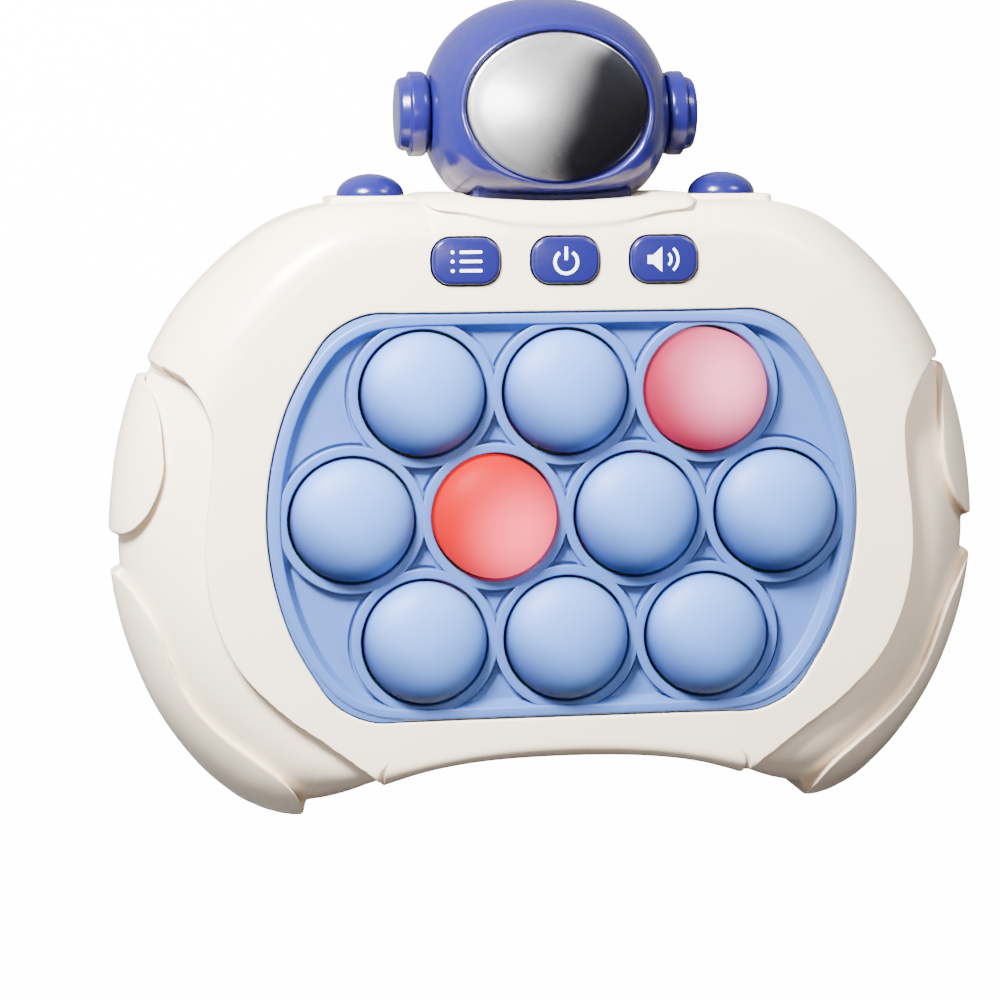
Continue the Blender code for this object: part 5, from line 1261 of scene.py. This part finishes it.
def grown(name, tree, values):
    """A piece whose plain mesh the tree makes with these values."""
    mesh = bpy.data.meshes.new(name)
    mesh.from_pydata([(0, 0, 0)], [], [])
    piece = new_piece(name, mesh)
    step = piece.modifiers.new("grow", "NODES")
    step.node_group = tree
    for item in tree.interface.items_tree:
        if item.in_out == "INPUT" and item.name in values:
            step[item.identifier] = values[item.name]
    settled(piece)
    faced_outwards(piece.data)
    print(piece.name, "grown faces:", len(piece.data.polygons))
    return piece


# %% [markdown]
# ## The domes
# Each dome is a hollow cap on a short skirt. Its shape is a rule: a quarter of an oval turned round
# an upright axis. A Geometry Nodes tree bends a flat grid into that shape: one direction of the
# grid runs round the axis, the other over the dome, down the skirt and back up inside.


# %% A tree that bends a grid into a dome
DOME_HEIGHT, DOME_SKIRT, DOME_WALL = 0.0055, 0.0049, 0.0015
CAP_SHARE = 0.75


def dome_tree():
    wires, given, result = new_tree("GeometryNodeTree", "pressed_dome", (
        ("Geometry", "Geometry"), ("Radius", "Float", DOME_RADIUS),
        ("Height", "Float", DOME_HEIGHT), ("Skirt", "Float", DOME_SKIRT),
        ("Wall", "Float", DOME_WALL), ("Centre", "Vector"),
        ("Round", "Int", 96), ("Over", "Int", 64), ("Finish", "Material")),
        (("Geometry", "Geometry"),))
    maths = wires.maths
    grid = wires.add("GeometryNodeMeshGrid", {
        "Size X": 1, "Size Y": 1, "Vertices X": maths("ADD", given["Round"], 1),
        "Vertices Y": maths("ADD", given["Over"], 1)}).outputs["Mesh"]
    place = wires.add("GeometryNodeInputPosition").outputs[0]
    split = wires.add("ShaderNodeSeparateXYZ", {0: place}).outputs
    turn = maths("MULTIPLY", maths("ADD", split["X"], 0.5), 2 * math.pi)
    run = maths("ADD", split["Y"], 0.5)
    inside = maths("GREATER_THAN", run, 0.5001)
    thick = maths("MULTIPLY", inside, given["Wall"])
    wide = maths("SUBTRACT", given["Radius"], thick)
    high = maths("SUBTRACT", given["Height"], thick)
    reach = maths("SUBTRACT", 1, maths("ABSOLUTE", maths("SUBTRACT", maths("MULTIPLY", run, 2), 1)))
    angle = maths("MULTIPLY", maths("DIVIDE", reach, CAP_SHARE, clamp=True), math.pi / 2)
    down = maths("DIVIDE", maths("SUBTRACT", reach, CAP_SHARE), 1 - CAP_SHARE, clamp=True)
    radius = maths("MULTIPLY", wide, maths("SINE", angle))
    height = maths("SUBTRACT", maths("MULTIPLY", high, maths("COSINE", angle)),
                   maths("MULTIPLY", down, given["Skirt"]))
    bent_place = wires.add("ShaderNodeCombineXYZ", {
        "X": maths("MULTIPLY", radius, maths("COSINE", turn)),
        "Y": maths("MULTIPLY", radius, maths("SINE", turn)), "Z": height}).outputs[0]
    shape = wires.add("GeometryNodeSetPosition", {
        "Geometry": grid, "Position": wires.vectors("ADD", bent_place, given["Centre"])})
    merged = wires.add("GeometryNodeMergeByDistance", {"Geometry": shape.outputs[0],
                                                       "Distance": 0.000002})
    return finish_tree(wires, merged.outputs[0], given, result)


def make_glow_field():
    """How near the shaded point is to a lamp's axis: 1 over the lamp, 0 at its reach."""
    wires, given, result = new_tree("ShaderNodeTree", "lamp_glow",
                                    (("Centre", "Vector"), ("Reach", "Float")),
                                    (("Glow", "Float"),))
    flat = wires.vectors("MULTIPLY", wires.own_place(), (1, 1, 0))
    way = wires.vectors("DISTANCE", flat, given["Centre"], "Value")
    wires.feed(result, {"Glow": wires.ranged(way, {
        "From Min": 0, "From Max": given["Reach"], "To Min": 1, "To Max": 0}, "SMOOTHSTEP")})
    return wires.tree


glow_field = make_glow_field()


def lit(name, colour, rim_colour, core_colour, strength, centre):
    """Translucent silicone over a lamp that is on."""
    material = moulded(name, colour, rim_colour, (0.46, 0.54), skin_depth=0.06, shine=0.06)
    wires, shader = opened(material)
    glow = wires.add("ShaderNodeGroup", {"Centre": (centre[0], centre[1] + PAD_CENTRE_Y, 0),
                                         "Reach": 1.25 * DOME_RADIUS}, node_tree=glow_field)
    wires.feed(shader, {
        "Emission Color": wires.mixed(glow.outputs["Glow"], (*rim_colour, 1), (*core_colour, 1)),
        "Emission Strength": strength})
    return material


PINK_DOME, RED_DOME = 3, 5
(pink_x, pink_y), (red_x, red_y) = dome_places[PINK_DOME - 1], dome_places[RED_DOME - 1]
bubble_pink = lit("bubble_pink", (0.08, 0.007, 0.018), (0.17, 0.006, 0.022), (1.0, 0.31, 0.50),
                  2.9, (pink_x + 0.0030, pink_y + 0.0020))
bubble_red = lit("bubble_red", (0.05, 0.0004, 0.001), (0.30, 0.0003, 0.002), (1.0, 0.095, 0.16),
                 3.4, (red_x + 0.0045, red_y - 0.0030))
dome_shape = dome_tree()
for number, place in enumerate(dome_places, 1):
    finish, slot_name = dome_blue, "bubble_blue"
    if number in (PINK_DOME, RED_DOME):
        finish, slot_name = ((bubble_pink, "bubble_pink") if number == PINK_DOME else
                             (bubble_red, "bubble_red"))
    dome = grown(f"dome_{number:02d}", dome_shape, {
        "Radius": DOME_RADIUS, "Height": DOME_HEIGHT, "Skirt": DOME_SKIRT, "Wall": DOME_WALL,
        "Centre": (*place, FACE_Z), "Round": 96, "Over": 64, "Finish": finish})
    # Painted shade: how far each point lies towards the dome's lower left, which the dome material
    # paints darker.
    lower = dome.data.attributes.new("painted_shade_lower_left", "FLOAT", "POINT")
    for vertex, value in zip(dome.data.vertices, lower.data):
        value.value = -(vertex.co.x - place[0] + vertex.co.y - place[1]) / (1.42 * DOME_RADIUS)
    dressed(dome, finish, f"bubble_{number:02d}", [f"bubble_{number:02d}"], 50)

# %% [markdown]
# ## Buttons and their signs
# The three front buttons are rounded blocks that stand a little out of the face. Their signs are
# thin white prints: a list, a power sign and a loudspeaker. They ride on the button they belong to.


# %% Front buttons
def strip(points, width, low, high):
    """A flat bar of even width along points, with square ends."""
    points = np.array(points, float)
    along = np.gradient(points, axis=0)
    along /= np.linalg.norm(along, axis=1)[:, None]
    side = np.column_stack([-along[:, 1], along[:, 0]]) * width / 2
    return column_mesh("strip", np.vstack([points - side, (points + side)[::-1]]), low, high)


def arc(radius, start, end, centre=(0, 0), count=28):
    angle = np.radians(np.linspace(start, end, count))
    return np.column_stack([centre[0] + radius * np.cos(angle), centre[1] + radius * np.sin(angle)])


def list_sign(low, high):
    parts = []
    for y in (-0.0017, 0.0, 0.0017):
        parts.append(column_mesh("dot", circle(0.00034, 20, (-0.0026, y)), low, high))
        bar = rounded_rectangle(0.0021, 0.00029, 0.00026, 3)
        parts.append(column_mesh("bar", bar + (0.0008, y), low, high))
    return parts


def power_sign(low, high):
    return [strip(arc(0.0021, 125, 415, (0, -0.0003)), 0.0006, low, high),
            strip([(0, 0.0001), (0, 0.0025)], 0.0006, low, high)]


def volume_sign(low, high):
    horn = [(-0.0032, -0.0008), (-0.0022, -0.0008), (-0.0005, -0.0023), (-0.0005, 0.0023),
            (-0.0022, 0.0008), (-0.0032, 0.0008)]
    return [column_mesh("horn", np.array(horn), low, high),
            strip(arc(0.0014, -48, 48, (-0.0002, 0), 14), 0.0005, low, high),
            strip(arc(0.0027, -48, 48, (-0.0002, 0), 18), 0.0005, low, high)]


BUTTON_TOP, BUTTON_FOOT_Z = FACE_Z + 0.0009, 0.0376
SIGN_SINK, SIGN_RISE = 0.0001, 0.00007
for column, (name, sign) in enumerate((("menu_button", list_sign), ("power_button", power_sign),
                                       ("volume_button", volume_sign)), -1):
    centre = np.array((column * BUTTON_PITCH, BUTTON_Y))
    rings = []
    for inset, drop in [(0, None)] + [(BUTTON_EDGE * (1 - math.cos(turn)),
                                       BUTTON_EDGE * (1 - math.sin(turn))) for turn in quarter(7)]:
        loop = rounded_rectangle(BUTTON_HALF_WIDTH - inset, BUTTON_HALF_HEIGHT - inset,
                                 BUTTON_CORNER - inset, 12) + centre
        rings.append(at_height(loop, BUTTON_FOOT_Z if drop is None else BUTTON_TOP - drop))
    dressed(new_piece(f"{name}_cap", ring_mesh(name, rings)), royal_blue, name, [name],
            60)
    print_mesh = joined_meshes("sign", sign(BUTTON_TOP - SIGN_SINK, BUTTON_TOP + SIGN_RISE))
    print_mesh.transform(Matrix.Translation((*centre, 0)))
    dressed(new_piece(f"{name}_sign", print_mesh), sign_white, name)

# %% Shoulder buttons
for side, name in ((-1, "shoulder_button_left"), (1, "shoulder_button_right")):
    profile = [(SHOULDER_RADIUS * math.sin(turn), SHOULDER_RISE * math.cos(turn))
               for turn in quarter(25)]
    profile += [(SHOULDER_RADIUS, -0.0040), (0, -0.0040)]
    mesh = turned_to(turned_mesh(name, profile), -90, "X",
                     (side * SHOULDER_X, PAD_TOP_Y, SHOULDER_Z))
    dressed(new_piece(f"{name}_dome", mesh), royal_blue, name, [name], 50)

# %% [markdown]
# ## Screws and the battery door
# All screws have the same form in different sizes, so one Geometry Nodes tree makes them: a head
# with a sloping rim, a shank, and a cross recess that two crossed blades cut out of the head.


# %% A screw tree
RIM_SHARE = 0.45
BLADE_LENGTH, BLADE_WIDTH, BLADE_DEPTH = 1.15, 0.26, 0.9


def screw_tree():
    wires, given, result = new_tree("GeometryNodeTree", "cross_head_screw", (
        ("Geometry", "Geometry"), ("Head radius", "Float", 0.0028),
        ("Head height", "Float", 0.0018), ("Shank radius", "Float", 0.0014),
        ("Shank length", "Float", 0.018), ("Place", "Vector"), ("Finish", "Material")),
        (("Geometry", "Geometry"),))
    maths = wires.maths

    def at(geometry, height):
        place = wires.add("ShaderNodeCombineXYZ", {"Z": height}).outputs[0]
        return wires.add("GeometryNodeTransform", {"Geometry": geometry,
                                                   "Translation": place}).outputs["Geometry"]

    def cone(top, bottom, depth, sides):
        return wires.add("GeometryNodeMeshCone", {
            "Radius Top": top, "Radius Bottom": bottom, "Depth": depth,
            "Vertices": sides}).outputs["Mesh"]

    radius, height, shank = given["Head radius"], given["Head height"], given["Shank radius"]
    rim = maths("MULTIPLY", height, RIM_SHARE)
    seat_height = maths("SUBTRACT", height, rim)
    head = at(cone(radius, maths("MULTIPLY", radius, 0.72), rim, 40), maths("MULTIPLY", rim, -1))
    seat = cone(radius, radius, seat_height, 40)
    rod = at(cone(maths("MULTIPLY", shank, 0.5), shank, given["Shank length"], 24),
             maths("MULTIPLY", seat_height, 0.9))
    body = wires.add("GeometryNodeMeshBoolean", operation="UNION")
    for part in (head, seat, rod):
        wires.feed(body, {"Mesh 2": part})
    cut = wires.add("GeometryNodeMeshBoolean", {"Mesh 1": body.outputs["Mesh"]},
                    operation="DIFFERENCE")
    for long_side, thin_side in (("Y", "X"), ("X", "Y")):
        size = wires.add("ShaderNodeCombineXYZ", {
            long_side: maths("MULTIPLY", radius, BLADE_LENGTH),
            thin_side: maths("MULTIPLY", radius, BLADE_WIDTH),
            "Z": maths("MULTIPLY", height, BLADE_DEPTH)}).outputs[0]
        blade = wires.add("GeometryNodeMeshCube", {"Size": size}).outputs["Mesh"]
        wires.feed(cut, {"Mesh 2": at(blade, maths("MULTIPLY", rim, -1))})
    moved = wires.add("GeometryNodeTransform", {"Geometry": cut.outputs["Mesh"],
                                                "Translation": given["Place"]})
    return finish_tree(wires, moved.outputs["Geometry"], given, result)


def metal(name, colour, drift_colour, roughness):
    material = moulded(name, colour, drift_colour, roughness, 300.0, 2500.0, 0.15)
    opened(material)[1].inputs["Metallic"].default_value = 1.0
    return material


steel = metal("steel", (0.62, 0.62, 0.63), (0.48, 0.48, 0.50), (0.25, 0.4))
screw_shape = screw_tree()


def add_screw(node, body, radius, height, shank_radius, shank_length):
    """A screw with its head down, in the place that the solids give it."""
    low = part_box(node)[0]
    place = (low[0] + radius, low[1] + radius - PAD_CENTRE_Y, low[2] + height * RIM_SHARE)
    piece = grown(f"{node}_cross", screw_shape, {
        "Head radius": radius, "Head height": height, "Shank radius": shank_radius,
        "Shank length": shank_length, "Place": place, "Finish": steel})
    dressed(piece, steel, body, [node], 30)


for number in range(1, len(body_screws) + 1):
    add_screw(f"body_screw_{number}", "body", 0.0028, 0.0018, 0.0014, 0.0178)
for number in (1, 2):
    add_screw(f"helmet_screw_{number}", "body", 0.0022, 0.0014, 0.0011, 0.0128)
    add_screw(f"battery_door_screw_{number}", "battery_door", 0.0024, 0.00030, 0.0013, 0.0060)

# %% [markdown]
# The door is a thin plate with softened edges, two screw holes with sunken seats and a row of short
# grooves for the thumb.

# %% Battery door with grip grooves
DOOR_EDGE = 0.0004
GRIP_START_Y, GRIP_PITCH = 0.0145, 0.0018
door_rings = []
for turn in quarter(5):
    inset = DOOR_EDGE * (1 - math.sin(turn))
    loop = rounded_rectangle(DOOR_HALF_LENGTH - inset, DOOR_HALF_HEIGHT - inset, 0.0030 - inset, 8)
    door_rings.append(at_height(loop + (0, BAY_CENTRE_Y), DOOR_EDGE * (1 - math.cos(turn))))
door_rings.append(at_height(door_rings[-1][:, :2], DOOR_THICKNESS))
battery_door = new_piece("door_plate", ring_mesh("door_plate", door_rings))
combined(battery_door, round_columns(0.0016, 32, door_screws, UNDER, 0.003), "DIFFERENCE")
combined(battery_door, round_columns(0.0027, 48, door_screws, UNDER, 0.0009), "DIFFERENCE")
groove = rounded_rectangle(0.0060, 0.00045, 0.0004, 4)
grooves = [groove + (0, BAY_CENTRE_Y + GRIP_START_Y - GRIP_PITCH * row) for row in range(5)]
combined(battery_door, [column_mesh("groove", loop, UNDER, 0.0005) for loop in grooves],
         "DIFFERENCE")
dressed(battery_door, shell_white, "battery_door", ["battery_door"], 35)

# %% [markdown]
# ## The parts inside
# The board, chip, cells, contacts, leads and speaker keep the shape that the solids give them. Each
# gets a finish of its own: copper tracks under green lacquer, a wrap in two colours round the
# cells, paper grain on the speaker's cone.


# %% Finishes for the inner parts
def banded(name, first, second, axis, middle, roughness, metallic):
    """Two colours that meet at a level along one axis, with the shared skin's roughness."""
    material = moulded(name, first, first, roughness, 40.0)
    wires, shader = opened(material)
    split = wires.add("ShaderNodeSeparateXYZ", {0: wires.own_place()}).outputs
    level = wires.maths("GREATER_THAN", split[axis], middle)
    wires.feed(shader, {"Base Color": wires.mixed(level, (*first, 1), (*second, 1)),
                        "Metallic": metallic})
    return material


def make_board_finish():
    """Green lacquer with lighter copper tracks that wander in straight steps."""
    lacquer = (0.02, 0.16, 0.06)
    material = moulded("board_green", lacquer, (0.03, 0.20, 0.08), (0.3, 0.4))
    wires, shader = opened(material)
    cells = wires.add("ShaderNodeTexVoronoi", distance="MANHATTAN", feature="F1")
    wires.feed(cells, {"Vector": wires.own_place(), "Scale": 160})
    track = wires.ranged(cells.outputs["Distance"], {"From Min": 0.42, "From Max": 0.47})
    wires.feed(shader, {"Base Color": wires.mixed(track, (*lacquer, 1), (0.07, 0.33, 0.13, 1))})
    return material


inner_finishes = {
    "main_board": make_board_finish(),
    "control_chip": moulded("chip_black", (0.02, 0.02, 0.022), (0.03, 0.03, 0.033), (0.4, 0.5)),
    "board_screw": steel,
    "speaker_lead": moulded("lead_red", (0.55, 0.02, 0.02), (0.48, 0.02, 0.02), (0.35, 0.45)),
    "battery_lead": moulded("lead_red_2", (0.55, 0.02, 0.02), (0.48, 0.02, 0.02), (0.35, 0.45)),
    "speaker": moulded("speaker_black", (0.03, 0.03, 0.03), (0.06, 0.055, 0.05), (0.5, 0.7),
                       skin_scale=1500.0, skin_depth=0.5),
    "battery_cell": banded("cell_wrap", (0.06, 0.07, 0.09), (0.75, 0.42, 0.10), "X", 0.008,
                           (0.25, 0.35), 0.4),
    "battery_contact": metal("spring_steel", (0.70, 0.69, 0.66), (0.55, 0.54, 0.50), (0.2, 0.35)),
    "return_cone": moulded("rubber_clear", (0.75, 0.76, 0.78), (0.68, 0.70, 0.72), (0.4, 0.5),
                           subsurface=0.2),
}
for name, node in frame["nodes"].items():
    key = next((start for start in inner_finishes if name.startswith(start)), None)
    if key:
        node.data.materials.clear()
        node.data.materials.append(inner_finishes[key])
print("inner parts finished:",
      sum(name.startswith(tuple(inner_finishes)) for name in frame["nodes"]))

# %% [markdown]
# ## Floor, light and camera
# The floor and the world are pale, as in a product picture. The floor glows for the camera alone,
# so it looks white and still sends little light back up. A small soft key light stands close by at
# the upper left and makes the gloss on shell, helmet and buttons. A weaker light at the upper right
# and one high in front fill the shadows. The camera was fitted to the ten domes of the photograph,
# which lie on an even grid.

# %% Studio
floor_finish = moulded("floor_pale", (0.14, 0.14, 0.14), (0.13, 0.13, 0.13), (0.6, 0.7), shine=0.1)
wires, floor_shader = opened(floor_finish)
seen = wires.add("ShaderNodeLightPath").outputs["Is Camera Ray"]
wires.feed(floor_shader, {"Emission Color": (1, 1, 1, 1),
                          "Emission Strength": wires.maths("MULTIPLY", seen, 15.0)})
floor_mesh = bpy.data.meshes.new("floor")
floor_mesh.from_pydata([(-1.5, -1.5, 0), (1.5, -1.5, 0), (1.5, 1.5, 0), (-1.5, 1.5, 0)], [],
                       [(0, 1, 2, 3)])
floor = new_piece("floor", floor_mesh)
floor_mesh.materials.append(floor_finish)

world = bpy.data.worlds.new("studio")
bpy.context.scene.world = world
world.use_nodes = True
wires = Wiring(world.node_tree)
way = wires.add("ShaderNodeTexCoord").outputs["Generated"]
bright_side = wires.vectors("DOT_PRODUCT", way, Vector((-0.75, 0.40, 0.55)).normalized(), "Value")
share = wires.ranged(bright_side, {"From Min": -0.25, "From Max": 0.95}, "SMOOTHSTEP")
wires.feed(world.node_tree.nodes["Background"],
           {"Color": wires.mixed(share, (0.15, 0.12, 0.11, 1), (0.45, 0.46, 0.49, 1))})


def soft_light(name, place, size, power):
    """A square area light that looks at the game."""
    lamp = bpy.data.lights.new(name, "AREA")
    lamp.energy = power
    lamp.size = size
    light = bpy.data.objects.new(name, lamp)
    light.location = place
    way = Vector((0, 0, 0.02)) - Vector(place)
    light.rotation_euler = way.to_track_quat("-Z", "Y").to_euler()
    bpy.context.scene.collection.objects.link(light)


soft_light("key", (-0.20, 0.27, 0.27), 0.12, 14.5)
soft_light("side", (0.28, 0.32, 0.30), 0.14, 2.2)
soft_light("front", (-0.08, 0.11, 0.95), 0.15, 2.0)

SENSOR_WIDTH, CAMERA_DISTANCE, LENS_SHARE = 36, 0.6, 3.2334295
azimuth, elevation, roll = -0.1713105, 0.1143270, -0.0051069
towards = Vector((math.sin(azimuth) * math.cos(elevation), math.sin(elevation),
                  math.cos(azimuth) * math.cos(elevation)))
across = Vector((0, 1, 0)).cross(towards).normalized()
upwards = towards.cross(across)
right = math.cos(roll) * across + math.sin(roll) * upwards
up = -math.sin(roll) * across + math.cos(roll) * upwards
camera_data = bpy.data.cameras.new("camera")
camera = bpy.data.objects.new("camera", camera_data)
bpy.context.scene.collection.objects.link(camera)
turn = Matrix((right, up, towards)).transposed().to_4x4()
stand = Vector((0, PAD_CENTRE_Y, FACE_Z)) + towards * CAMERA_DISTANCE
camera.matrix_world = Matrix.Translation(stand) @ turn
camera_data.sensor_width = SENSOR_WIDTH
camera_data.lens = SENSOR_WIDTH * LENS_SHARE
camera_data.shift_x = -0.06668
camera_data.shift_y = 0.0156
camera_data.clip_start = 0.01
bpy.context.scene.camera = camera

# %% The box of the solids
print("box of the solids in mm:", in_mm(cad_box))
